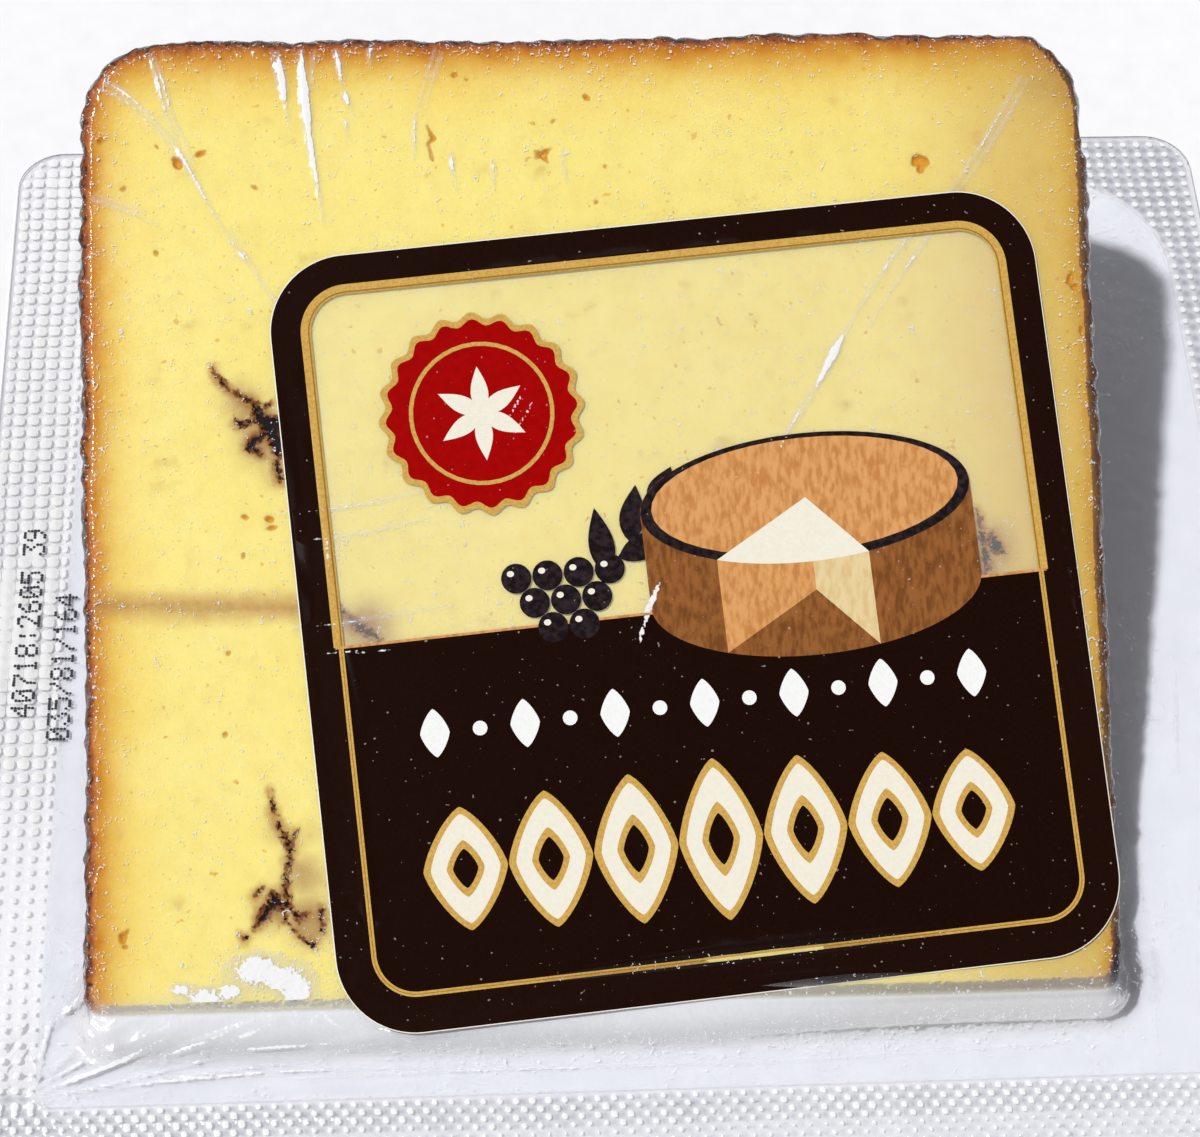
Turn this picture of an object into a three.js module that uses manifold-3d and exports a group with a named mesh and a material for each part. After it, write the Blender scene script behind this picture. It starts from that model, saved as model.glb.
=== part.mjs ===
// A wedge of pressed cheese in a clear vacuum pack, with a square label on its sloping cut face.
//
// Millimetres, +Z up. The wedge lies on one cut face. The axis of the wheel it was cut from runs along X
// through the thin edge, which faces -Y, and the rind of the wheel's rim faces +Y. The rinds of the wheel's
// two flat sides face -X and +X. The flat, sealed edge of the pack lies round the wedge on the ground.
// The model's origin is on the ground, in the middle of the pack.

import * as THREE from "three";
import { ConvexGeometry } from "three/addons/geometries/ConvexGeometry.js";
import { mergeVertices } from "three/addons/utils/BufferGeometryUtils.js";
import Module from "manifold-3d";

// ---- driving dimensions ----

const WHEEL_RADIUS = 93.5; // thin edge to rim rind
const WHEEL_HEIGHT = 98; // across the wedge, rind to rind
const WEDGE_ANGLE = (2 * Math.PI) / 14; // one of fourteen from the wheel
const TIP_TOP = 3; // top of the blunt thin edge over the ground
const RIM_CORNER = 8; // rounding of the wheel's rim, in plan
const TIP_CORNER = 2.5; // rounding of the thin edge's ends, in plan
const EDGE_ROUND = 1; // softened edge between cut face and rind

const FACE_SWELL = 0.25; // gentle rise and fall of the cut face
const RIND_CRAG = 0.3; // depth of the rind's roughness
const RIND_PITCH = 7; // wavelength of that roughness

const FILM = 0.5; // the two webs of the pack, where they lie flat together
const GAP = 0.3; // clearance between neighbouring pieces

// How far the pack's edge, and the inner edge of its seal, stand off the wedge's footprint.
const EDGE_MARGIN = { left: 13.2, right: 22.6, front: 15.5, back: 14.3 };
const SEAL_MARGIN = { left: 4.7, right: 17.8, front: 7.9, back: 7.9 };
const EDGE_CORNER = { front: 5, back: 5, backRight: 5 };
const SEAL_CORNER = { front: 4, back: 6, backRight: 13 };
const SEAL_RISE = 0.35; // embossed band over the flat film

const COLLAR_REACH = 4; // width of the fillet where the film comes down to the ground
const COLLAR_TALL = 4.5; // its height against the rind
const COLLAR_LOW = 1.7; // its height against the thin edge
const COLLAR_CREST = 0.5; // width of its top

const LABEL_SIZE = 74.8; // both ways
const LABEL_CORNER = 7.6;
const LABEL_THICK = 0.4;
const LABEL_TURN = THREE.MathUtils.degToRad(5); // stuck on slightly askew
const LABEL_AT = { across: 9, up: 37.4 }; // middle of the label on the cut face

// Openings in the cut face: place of the middle, length, width and turn in degrees.
const DENT_DEPTH = 0.8;
const DENTS = [
  { across: -39.6, up: 81.3, long: 3.2, wide: 1.9, turn: 20 },
  { across: -36.6, up: 82.4, long: 1.8, wide: 1.2, turn: -30 },
  { across: -15.1, up: 82.9, long: 5.6, wide: 1.1, turn: 74 },
  { across: -4, up: 81.7, long: 3, wide: 2, turn: 10 },
  { across: 0.6, up: 87, long: 1.8, wide: 1.2, turn: 50 },
  { across: 26.6, up: 82.3, long: 2, wide: 1.3, turn: -15 },
  { across: 32.9, up: 81, long: 4.2, wide: 2.6, turn: 12 },
  { across: 46.4, up: 68.2, long: 2.8, wide: 1.6, turn: 80 },
  { across: 46.6, up: 62.6, long: 2, wide: 1.4, turn: -70 },
  { across: -44.2, up: 78.6, long: 1.8, wide: 1.2, turn: 40 },
  { across: -34.2, up: 46.8, long: 2.2, wide: 1.4, turn: -20 },
  { across: -36, up: 26, long: 2.2, wide: 1.5, turn: 35 },
  { across: -44.6, up: 7, long: 2.2, wide: 1.6, turn: 0 },
  { across: -30.4, up: 13.4, long: 13, wide: 1.5, turn: 113 },
  { across: -31.6, up: 9.6, long: 6, wide: 1.1, turn: 62 },
];

// Pleats of the film on the flat edge: from the wedge's corner outwards, given in plan.
const PLEAT_RISE = 0.55;
const PLEAT_WIDE = 1.5;
const PLEAT_REACH = { frontLeft: 6.6, frontRight: 9, backRight: 13, backLeft: 7 };
const PLEAT_SPREAD = THREE.MathUtils.degToRad(34);
const PLEATS_PER_CORNER = 3;

const MERGE_WITHIN = 1e-4;

// ---- sizes that follow ----

const HALF = WHEEL_HEIGHT / 2;
const WEDGE_BASE = FILM + GAP;

// ---- solids and meshes ----

const wasm = await Module();
wasm.setup();

// Leaves only positions, with the corners that faces share merged into one.
function merged(geometry) {
  geometry.deleteAttribute("normal");
  geometry.deleteAttribute("uv");
  return mergeVertices(geometry, MERGE_WITHIN);
}

function toSolid(geometry) {
  const { attributes, index } = merged(geometry);
  return new wasm.Manifold(
    new wasm.Mesh({
      numProp: 3,
      vertProperties: new Float32Array(attributes.position.array),
      triVerts: new Uint32Array(index.array),
    }),
  );
}

function toGeometry(solid) {
  const { vertProperties, triVerts } = solid.getMesh();
  const geometry = new THREE.BufferGeometry();
  geometry.setAttribute("position", new THREE.BufferAttribute(vertProperties, 3));
  geometry.setIndex(new THREE.BufferAttribute(triVerts, 1));
  geometry.computeVertexNormals();
  return geometry;
}

function named(name, geometry, color, roughness) {
  const mesh = new THREE.Mesh(geometry, new THREE.MeshStandardMaterial({ color, roughness, metalness: 0 }));
  mesh.name = name;
  return mesh;
}

// Moves every corner of a block that spans 0 to 1 each way to where place(a, b, c) puts it.
function shapedBlock(cells, place) {
  const geometry = merged(new THREE.BoxGeometry(1, 1, 1, ...cells));
  const corners = geometry.attributes.position;
  for (let i = 0; i < corners.count; i += 1) {
    const at = [corners.getX(i), corners.getY(i), corners.getZ(i)].map((value) => value + 0.5);
    const { x, y, z } = place(...at);
    corners.setXYZ(i, x, y, z);
  }
  return geometry;
}

// How far a corner of the given radius pulls an edge back, at a distance in from its end.
function pullBack(inFromEnd, radius) {
  const short = Math.max(radius - inFromEnd, 0);
  return radius - Math.sqrt(radius * radius - short * short);
}

// ---- the cheese ----

// The cut face's height over its own plane, from the distance across and up the face.
function faceSwell(across, up) {
  const wide = Math.sin(across / 17 + 0.6) * Math.cos(up / 21 - 0.4);
  const narrow = Math.sin((across + up) / 11);
  return FACE_SWELL * (0.7 * wide + 0.3 * narrow);
}

// The rind's roughness, from two distances along it.
function rindCrag(along, over) {
  const turn = (2 * Math.PI) / RIND_PITCH;
  const coarse = Math.sin(along * turn + 1.3 * Math.sin(over * 0.45 * turn));
  const fine = Math.sin(over * 1.6 * turn + 2.1 * Math.sin(along * 0.8 * turn));
  return RIND_CRAG * (0.55 * coarse + 0.45 * fine);
}

const CORNER_CELLS = 5;
const MIDDLE_CELLS = 20;
const RADIAL_CELLS = 22;
const THICK_CELLS = 12;
const EDGE_STEPS = [0, 0.3 * EDGE_ROUND, EDGE_ROUND];

// Columns across the wedge: close together round the rim's corners, even between them.
function acrossAt(share) {
  const cells = 2 * CORNER_CELLS + MIDDLE_CELLS;
  const step = Math.round(share * cells);
  const fromEnd = Math.min(step, cells - step);
  const side = step < cells / 2 ? -1 : 1;
  if (fromEnd <= CORNER_CELLS) {
    return side * (HALF - RIM_CORNER * (1 - Math.cos((fromEnd / CORNER_CELLS) * (Math.PI / 2))));
  }
  const between = (step - CORNER_CELLS) / MIDDLE_CELLS;
  return (HALF - RIM_CORNER) * (2 * between - 1);
}

// Layers through the wedge's thickness: the first and last ones round its edges off.
function layerAt(share, thick) {
  const step = Math.round(share * THICK_CELLS);
  const fromEnd = Math.min(step, THICK_CELLS - step);
  const last = EDGE_STEPS.length - 1;
  const even = EDGE_ROUND + ((thick - 2 * EDGE_ROUND) * (step - last)) / (THICK_CELLS - 2 * last);
  if (fromEnd > last) {
    return even;
  }
  return step < THICK_CELLS / 2 ? EDGE_STEPS[fromEnd] : thick - EDGE_STEPS[fromEnd];
}

function wedgePoint(acrossShare, radialShare, thickShare) {
  const column = acrossAt(acrossShare);
  const inFromEnd = HALF - Math.abs(column);
  const near = pullBack(inFromEnd, TIP_CORNER);
  const far = WHEEL_RADIUS - pullBack(inFromEnd, RIM_CORNER);
  const radius = near + (far - near) * radialShare;

  const thick = radius * WEDGE_ANGLE + TIP_TOP - WEDGE_BASE;
  const layer = layerAt(thickShare, thick);
  const fromFace = Math.min(layer, thick - layer);
  const onSide = acrossShare === 0 || acrossShare === 1;
  const onRim = radialShare === 1;
  const onTip = radialShare === 0;
  const crag = onSide || onRim ? rindCrag(onSide ? radius : column, layer) : 0;
  const inwards = pullBack(fromFace, EDGE_ROUND) - crag;

  // The rind and the thin edge draw back where the edges are rounded off.
  let across = column;
  let out = radius;
  if (onSide) {
    across = Math.sign(column) * (HALF - inwards);
  }
  if (onRim) {
    out -= inwards;
  }
  if (onTip) {
    out += inwards;
  }
  const angle = (layer / thick) * WEDGE_ANGLE;
  const lift = WEDGE_BASE + ((TIP_TOP - WEDGE_BASE) * layer) / thick;
  const swell = (faceSwell(across, out) * layer) / thick;
  return {
    x: across,
    y: out * Math.cos(angle) - swell * Math.sin(angle),
    z: out * Math.sin(angle) + lift + swell * Math.cos(angle),
  };
}

// A frame on the sloping cut face: X across, Y up the slope, Z out of the face.
const faceFrame = new THREE.Matrix4()
  .makeRotationX(WEDGE_ANGLE)
  .setPosition(0, 0, TIP_TOP);

function dentSolid({ across, up, long, wide, turn }) {
  const place = new THREE.Matrix4()
    .makeRotationZ(THREE.MathUtils.degToRad(turn))
    .setPosition(across, up, faceSwell(across, up));
  const dent = new THREE.SphereGeometry(0.5, 10, 8);
  dent.scale(long, wide, 2 * DENT_DEPTH);
  dent.applyMatrix4(place);
  dent.applyMatrix4(faceFrame);
  return toSolid(dent);
}

function wedgeGeometry() {
  const cells = [2 * CORNER_CELLS + MIDDLE_CELLS, RADIAL_CELLS, THICK_CELLS];
  let wedge = toSolid(shapedBlock(cells, wedgePoint));
  for (const dent of DENTS) {
    wedge = wedge.subtract(dentSolid(dent));
  }
  return toGeometry(wedge);
}

// ---- the pack's film ----

// The wedge's footprint, grown by a margin on each side.
function bounds(margin) {
  return {
    left: -HALF - margin.left,
    right: HALF + margin.right,
    front: -margin.front,
    back: WHEEL_RADIUS + margin.back,
  };
}

function evenMargin(size) {
  return { left: size, right: size, front: size, back: size };
}

// The four corners of an outline, anticlockwise from the front left, with each arc's centre and start.
function cornersOf({ left, right, front, back }, radius) {
  const { front: near, back: far, backRight = far } = radius;
  return [
    { x: left + near, y: front + near, radius: near, from: Math.PI },
    { x: right - near, y: front + near, radius: near, from: 1.5 * Math.PI },
    { x: right - backRight, y: back - backRight, radius: backRight, from: 0 },
    { x: left + far, y: back - far, radius: far, from: 0.5 * Math.PI },
  ];
}

function roundedOutline(box, radius) {
  const outline = new THREE.Path();
  for (const corner of cornersOf(box, radius)) {
    outline.absarc(corner.x, corner.y, corner.radius, corner.from, corner.from + Math.PI / 2);
  }
  outline.closePath();
  return outline;
}

const ARC_CELLS = 8;

function plate(outer, inner, depth) {
  const shape = new THREE.Shape(outer.getPoints(ARC_CELLS));
  if (inner) {
    shape.holes.push(new THREE.Path(inner.getPoints(ARC_CELLS)));
  }
  return toSolid(new THREE.ExtrudeGeometry(shape, { depth, bevelEnabled: false }));
}

// Stations round the wedge's foot, each with its outward direction.
const SIDE_CELLS = 10;

function footStations() {
  const corners = cornersOf(bounds(evenMargin(0)), { front: TIP_CORNER, back: RIM_CORNER });
  const stations = [];
  corners.forEach((corner, index) => {
    for (let step = 0; step <= ARC_CELLS; step += 1) {
      const angle = corner.from + ((Math.PI / 2) * step) / ARC_CELLS;
      const outward = { x: Math.cos(angle), y: Math.sin(angle) };
      const at = { x: corner.x + corner.radius * outward.x, y: corner.y + corner.radius * outward.y };
      stations.push({ at, outward });
    }
    const next = corners[(index + 1) % corners.length];
    const last = stations[stations.length - 1];
    const start = { x: next.x + next.radius * last.outward.x, y: next.y + next.radius * last.outward.y };
    for (let step = 1; step < SIDE_CELLS; step += 1) {
      const share = step / SIDE_CELLS;
      const x = last.at.x + (start.x - last.at.x) * share;
      const y = last.at.y + (start.y - last.at.y) * share;
      stations.push({ at: { x, y }, outward: last.outward });
    }
  });
  return stations;
}

// The film's fillet round the wedge's foot: a closed ring with one profile, taller against the rind.
function collarSolid() {
  const start = GAP + RIND_CRAG;
  const profile = [
    { out: start, rise: 0 },
    { out: start, rise: 1 },
    { out: start + COLLAR_CREST, rise: 0.92 },
    { out: start + 0.4 * COLLAR_REACH, rise: 0.46 },
    { out: start + 0.7 * COLLAR_REACH, rise: 0.17 },
    { out: COLLAR_REACH, rise: 0.02 },
    { out: COLLAR_REACH, rise: 0 },
  ];
  const stations = footStations();
  const points = [];
  const faces = [];
  stations.forEach(({ at, outward }, station) => {
    const climb = THREE.MathUtils.smoothstep(at.y, 0, WHEEL_RADIUS / 3);
    const tall = THREE.MathUtils.lerp(COLLAR_LOW, COLLAR_TALL, climb);
    profile.forEach(({ out, rise }, corner) => {
      const base = corner === 0 || corner === profile.length - 1 ? 0 : FILM;
      points.push(at.x + out * outward.x, at.y + out * outward.y, base + rise * tall);
      const here = station * profile.length + corner;
      const beside = station * profile.length + ((corner + 1) % profile.length);
      const step = (index) => (index + profile.length) % (stations.length * profile.length);
      faces.push(here, beside, step(beside), here, step(beside), step(here));
    });
  });
  const ring = new THREE.BufferGeometry();
  ring.setAttribute("position", new THREE.Float32BufferAttribute(points, 3));
  ring.setIndex(faces);
  return toSolid(ring);
}

// One pleat: a low tent that runs out to nothing at both ends.
function pleatSolid(from, direction, reach) {
  const to = from.clone().addScaledVector(direction, reach);
  const middle = from.clone().lerp(to, 0.45);
  const sideways = new THREE.Vector3(-direction.y, direction.x, 0).multiplyScalar(PLEAT_WIDE / 2);
  const root = FILM / 2;
  const corners = [
    from.clone().setZ(root),
    to.clone().setZ(root),
    middle.clone().add(sideways).setZ(root),
    middle.clone().sub(sideways).setZ(root),
    middle.clone().setZ(FILM + PLEAT_RISE),
    from.clone().lerp(to, 0.15).setZ(FILM + PLEAT_RISE / 2),
  ];
  return toSolid(new ConvexGeometry(corners));
}

function pleatSolids() {
  const corners = cornersOf(bounds(evenMargin(0)), { front: TIP_CORNER, back: RIM_CORNER });
  const { frontLeft, frontRight, backRight, backLeft } = PLEAT_REACH;
  const reaches = [frontLeft, frontRight, backRight, backLeft];
  const pleats = [];
  corners.forEach((corner, index) => {
    for (let pleat = 0; pleat < PLEATS_PER_CORNER; pleat += 1) {
      const spread = PLEAT_SPREAD * (pleat / (PLEATS_PER_CORNER - 1) - 0.5);
      const angle = corner.from + Math.PI / 4 + spread;
      const direction = new THREE.Vector3(Math.cos(angle), Math.sin(angle), 0);
      const clear = corner.radius + GAP + RIND_CRAG + COLLAR_CREST;
      const from = new THREE.Vector3(corner.x, corner.y, 0).addScaledVector(direction, clear);
      pleats.push(pleatSolid(from, direction, reaches[index]));
    }
  });
  return pleats;
}

function pouchGeometry() {
  const edge = roundedOutline(bounds(EDGE_MARGIN), EDGE_CORNER);
  const sealInside = roundedOutline(bounds(SEAL_MARGIN), SEAL_CORNER);
  let pouch = plate(edge, null, FILM);
  pouch = pouch.add(plate(edge, sealInside, FILM + SEAL_RISE));
  pouch = pouch.add(collarSolid());
  for (const pleat of pleatSolids()) {
    pouch = pouch.add(pleat);
  }
  return toGeometry(pouch);
}

// ---- the label ----

const LABEL_CELLS = 16;

// Pushes a point of a square's grid, from -1 to 1 each way, into the square's rounded corners.
function roundedSquare(a, b, size, radius) {
  const half = size / 2;
  const straight = half - radius;
  const over = [a, b].map((value) => Math.max(Math.abs(value) * half - straight, 0) / radius);
  const longest = Math.max(...over);
  const shortest = Math.min(...over);
  if (shortest === 0) {
    return { x: a * half, y: b * half };
  }
  const turn = (shortest / longest) * (Math.PI / 4);
  const reach = { long: longest * Math.cos(turn) * radius, short: longest * Math.sin(turn) * radius };
  const [outX, outY] = over[0] >= over[1] ? [reach.long, reach.short] : [reach.short, reach.long];
  return { x: Math.sign(a) * (straight + outX), y: Math.sign(b) * (straight + outY) };
}

// The label lies on the film, so it follows the swell of the face beneath it.
function labelPoint(acrossShare, upShare, thickShare) {
  const { x, y } = roundedSquare(2 * acrossShare - 1, 2 * upShare - 1, LABEL_SIZE, LABEL_CORNER);
  const across = LABEL_AT.across + x * Math.cos(LABEL_TURN) - y * Math.sin(LABEL_TURN);
  const up = LABEL_AT.up + x * Math.sin(LABEL_TURN) + y * Math.cos(LABEL_TURN);
  return { x, y, z: faceSwell(across, up) + GAP + thickShare * LABEL_THICK };
}

// ---- the object ----

const cheese = named("cheese_wedge", wedgeGeometry(), 0xefd27a, 0.55);
const film = named("film_pouch", pouchGeometry(), 0xdfe4e6, 0.12);
const label = named("label", shapedBlock([LABEL_CELLS, LABEL_CELLS, 1], labelPoint), 0x55392a, 0.35);

// The face's frame carries the label, which is turned about the face's normal.
const face = new THREE.Group();
face.applyMatrix4(faceFrame);
label.position.set(LABEL_AT.across, LABEL_AT.up, 0);
label.rotation.z = LABEL_TURN;
face.add(label);

const pack = new THREE.Group();
const edge = bounds(EDGE_MARGIN);
pack.position.set(-(edge.left + edge.right) / 2, -(edge.front + edge.back) / 2, 0);
pack.add(cheese, film, face);

export default new THREE.Group().add(pack);
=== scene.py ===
"""Looks of a wedge of pressed cheese in a clear vacuum pack with a printed label.

Every size is in millimetres, in the wedge's own frame: X across the wedge from its middle, Y from the thin
edge towards the rim, Z up from the ground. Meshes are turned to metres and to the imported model's frame when
they are made. A place on the sloping cut face is given as across, up the slope, and off the face.
"""

from __future__ import annotations

import itertools
import logging
import math
from collections.abc import Callable
from dataclasses import dataclass, field
from enum import Enum

import bpy
import numpy as np
from mathutils import Matrix, Vector
from mathutils.geometry import delaunay_2d_cdt


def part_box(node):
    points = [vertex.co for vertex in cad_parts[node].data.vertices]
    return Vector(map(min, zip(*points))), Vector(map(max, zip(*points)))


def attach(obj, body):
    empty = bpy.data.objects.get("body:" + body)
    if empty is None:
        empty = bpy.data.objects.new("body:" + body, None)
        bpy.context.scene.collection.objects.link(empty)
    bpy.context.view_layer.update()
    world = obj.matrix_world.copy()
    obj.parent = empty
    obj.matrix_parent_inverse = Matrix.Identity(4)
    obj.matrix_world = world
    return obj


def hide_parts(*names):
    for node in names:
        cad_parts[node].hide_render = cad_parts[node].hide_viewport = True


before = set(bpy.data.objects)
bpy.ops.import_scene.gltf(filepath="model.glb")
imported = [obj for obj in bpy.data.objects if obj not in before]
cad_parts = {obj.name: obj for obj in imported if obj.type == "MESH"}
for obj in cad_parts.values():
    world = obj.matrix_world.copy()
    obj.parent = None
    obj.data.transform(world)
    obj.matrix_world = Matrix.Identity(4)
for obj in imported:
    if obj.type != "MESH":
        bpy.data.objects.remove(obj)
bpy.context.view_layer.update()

Array = np.ndarray
Socket = bpy.types.NodeSocket
Tree = bpy.types.NodeTree
Line = tuple[tuple[float, ...], ...]
Radii = tuple[float, float, float, float]

MM = 0.001
BODY = "root"
log = logging.getLogger("cheese pack")


# ---- numbers: colours, noise, smooth steps ----


def linear(colour: str) -> tuple[float, float, float, float]:
    """Turns a colour written as sRGB hex into linear light.

    Args:
        colour: Six hex digits after a hash sign.

    Returns:
        Red, green, blue and a full alpha.
    """
    shares = [int(colour[at : at + 2], 16) / 255 for at in (1, 3, 5)]
    light = [s / 12.92 if s <= 0.04045 else ((s + 0.055) / 1.055) ** 2.4 for s in shares]
    return (*light, 1.0)


def smooth(value: Array, low: float, high: float) -> Array:
    """A smooth step from 0 at low to 1 at high."""
    share = np.clip((value - low) / (high - low), 0, 1)
    return share * share * (3 - 2 * share)


def chance(cells: Array, seed: int) -> Array:
    """Draws a fixed random share for each whole-numbered cell.

    Args:
        cells: Whole numbers, three for each cell.
        seed: Picks the draw.

    Returns:
        A share from 0 to 1 for each cell.
    """
    primes = np.array([374761393, 668265263, 2246822519], np.uint64)
    mixed = (cells.astype(np.uint64) * primes).sum(axis=-1, dtype=np.uint64)
    mixed = (mixed + np.uint64(seed * 3266489917)) & np.uint64(0xFFFFFFFF)
    mixed = ((mixed ^ (mixed >> np.uint64(15))) * np.uint64(2246822519)) & np.uint64(0xFFFFFFFF)
    mixed = ((mixed ^ (mixed >> np.uint64(13))) * np.uint64(3266489917)) & np.uint64(0xFFFFFFFF)
    return (mixed ^ (mixed >> np.uint64(16))).astype(float) / 0xFFFFFFFF


def noise(points: Array, pitch: float, seed: int, octaves: int = 1) -> Array:
    """Smooth value noise, each octave half as wide and half as tall as the last.

    Args:
        points: Places in millimetres, two or three numbers each.
        pitch: Width of the widest bumps in millimetres.
        seed: Picks the draw.
        octaves: How many layers are summed.

    Returns:
        A height from -1 to 1 for each place.
    """
    if points.shape[-1] == 2:
        points = np.column_stack([points, np.zeros(len(points))])
    total = np.zeros(len(points))
    for octave in range(octaves):
        at = points / (pitch / 2**octave) + 500.5 + 17 * octave
        cell = np.floor(at)
        part = at - cell
        part = part * part * (3 - 2 * part)
        layer = np.zeros(len(points))
        for corner in itertools.product((0, 1), repeat=3):
            weight = np.where(corner, part, 1 - part).prod(axis=1)
            layer += weight * chance(cell + corner, seed + octave)
        total += (2 * layer - 1) / 2**octave
    return total / (2 - 0.5 ** (octaves - 1))


def turned(angle: float) -> Array:
    """The matrix that turns rows of flat places anticlockwise, by an angle in radians."""
    return np.array([[math.cos(angle), math.sin(angle)], [-math.sin(angle), math.cos(angle)]])


def from_line(points: Array, line: Line) -> Array:
    """How far each place lies inside a line of changing half width.

    Args:
        points: Places, two numbers each.
        line: The line's corners, each with its half width there.

    Returns:
        Millimetres inside the line, less than 0 outside.
    """
    inside = np.full(len(points), -1e3)
    for (x0, y0, wide0), (x1, y1, wide1) in zip(line, line[1:]):
        start = np.array([x0, y0])
        step = np.array([x1, y1]) - start
        share = np.clip((points - start) @ step / max(step @ step, 1e-9), 0, 1)
        gap = np.linalg.norm(points - start - share[:, None] * step, axis=1)
        inside = np.maximum(inside, wide0 + (wide1 - wide0) * share - gap)
    return inside


def blobs(points: Array, spots: Line) -> Array:
    """How deep each place lies in the nearest of several soft ovals.

    Args:
        points: Places, two numbers each.
        spots: Middle, half width and half height of each oval.

    Returns:
        1 in a middle, 0 on an outline, less outside.
    """
    depth = np.full(len(points), -9.0)
    for x, y, wide, tall in spots:
        depth = np.maximum(depth, 1 - np.hypot((points[:, 0] - x) / wide, (points[:, 1] - y) / tall))
    return depth


# ---- the pack's driving sizes ----


@dataclass(frozen=True)
class Plan:
    """A rectangle with rounded corners, seen from above.

    The corners run anticlockwise from the front left one. A station from 0 to 8 names a place on the
    outline: corner k takes 2k to 2k + 1, and the straight side after it takes 2k + 1 to 2k + 2.
    """

    left: float
    right: float
    front: float
    back: float
    radii: tuple[float, float, float, float]

    def inset(self, by: float) -> Plan:
        """The same outline drawn a distance further in."""
        radii = tuple(max(radius - by, 0.05) for radius in self.radii)
        return Plan(self.left + by, self.right - by, self.front + by, self.back - by, radii)

    def centres(self) -> Array:
        """The middles of the corner arcs."""
        front_left, front_right, back_right, back_left = self.radii
        return np.array([
            [self.left + front_left, self.front + front_left],
            [self.right - front_right, self.front + front_right],
            [self.right - back_right, self.back - back_right],
            [self.left + back_left, self.back - back_left],
        ])

    def at(self, stations: Array) -> tuple[Array, Array]:
        """Finds places on the outline.

        Args:
            stations: Numbers from 0 to 8.

        Returns:
            The places, and the direction straight out of the outline at each.
        """
        corner = (stations // 2).astype(int) % 4
        share = stations % 2
        angle = math.pi / 2 * (2 + corner + np.minimum(share, 1))
        outward = np.column_stack([np.cos(angle), np.sin(angle)])
        centres = self.centres()
        radii = np.array(self.radii)[:, None]
        start = centres[corner] + radii[corner] * outward
        following = (corner + 1) % 4
        finish = centres[following] + radii[following] * outward
        along = np.clip(share - 1, 0, 1)[:, None]
        return start + (finish - start) * along, outward

    def stations(self, pitch: float) -> Array:
        """Stations about a pitch apart, all the way round."""
        found = []
        for corner, radius in enumerate(self.radii):
            ends = self.at(np.array([2 * corner + 1.0, 2 * corner + 2.0 - 1e-9]))[0]
            straight = float(np.linalg.norm(ends[1] - ends[0]))
            for offset, length in ((0, radius * math.pi / 2), (1, straight)):
                steps = max(3, round(length / pitch))
                found.append(2 * corner + offset + np.arange(steps) / steps)
        return np.concatenate(found)

    def depth(self, points: Array) -> Array:
        """How far inside the outline places lie, less than 0 outside."""
        low = np.array([self.left, self.front])
        high = np.array([self.right, self.back])
        away = points - (low + high) / 2
        corner = np.where(away[:, 1] < 0, away[:, 0] > 0, 3 - (away[:, 0] > 0)).astype(int)
        radius = np.array(self.radii)[corner]
        beyond = np.abs(away) - (high - low) / 2 + radius[:, None]
        return radius - np.linalg.norm(np.maximum(beyond, 0), axis=1) - np.minimum(beyond.max(axis=1), 0)

    def scatter(self, pitch: float, need: Callable[[Array], Array], margin: float = 0.45) -> Array:
        """Spreads points inside the outline, closer together where detail needs them.

        Args:
            pitch: Their widest spacing.
            need: How many times the spacing is halved at each place.
            margin: Least distance to the outline, as a share of the spacing.

        Returns:
            The points.
        """
        columns = np.arange(self.left + pitch / 2, self.right, pitch)
        rows = np.arange(self.front + pitch / 2, self.back, pitch)
        points = np.array([(x, y) for x in columns for y in rows])
        spacing = np.full(len(points), pitch)
        for level in range(3):
            split = (need(points) > level + 0.5) & (spacing < 1.01 * pitch / 2**level)
            quarter = pitch / 2 ** (level + 2)
            corners = itertools.product((-1, 1), repeat=2)
            parts = [points[split] + np.array(corner) * quarter for corner in corners]
            points = np.concatenate([points[~split], *parts])
            spacing = np.concatenate([spacing[~split], np.full(4 * int(split.sum()), 2 * quarter)])
        return points[self.depth(points) > margin * spacing]


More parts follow.
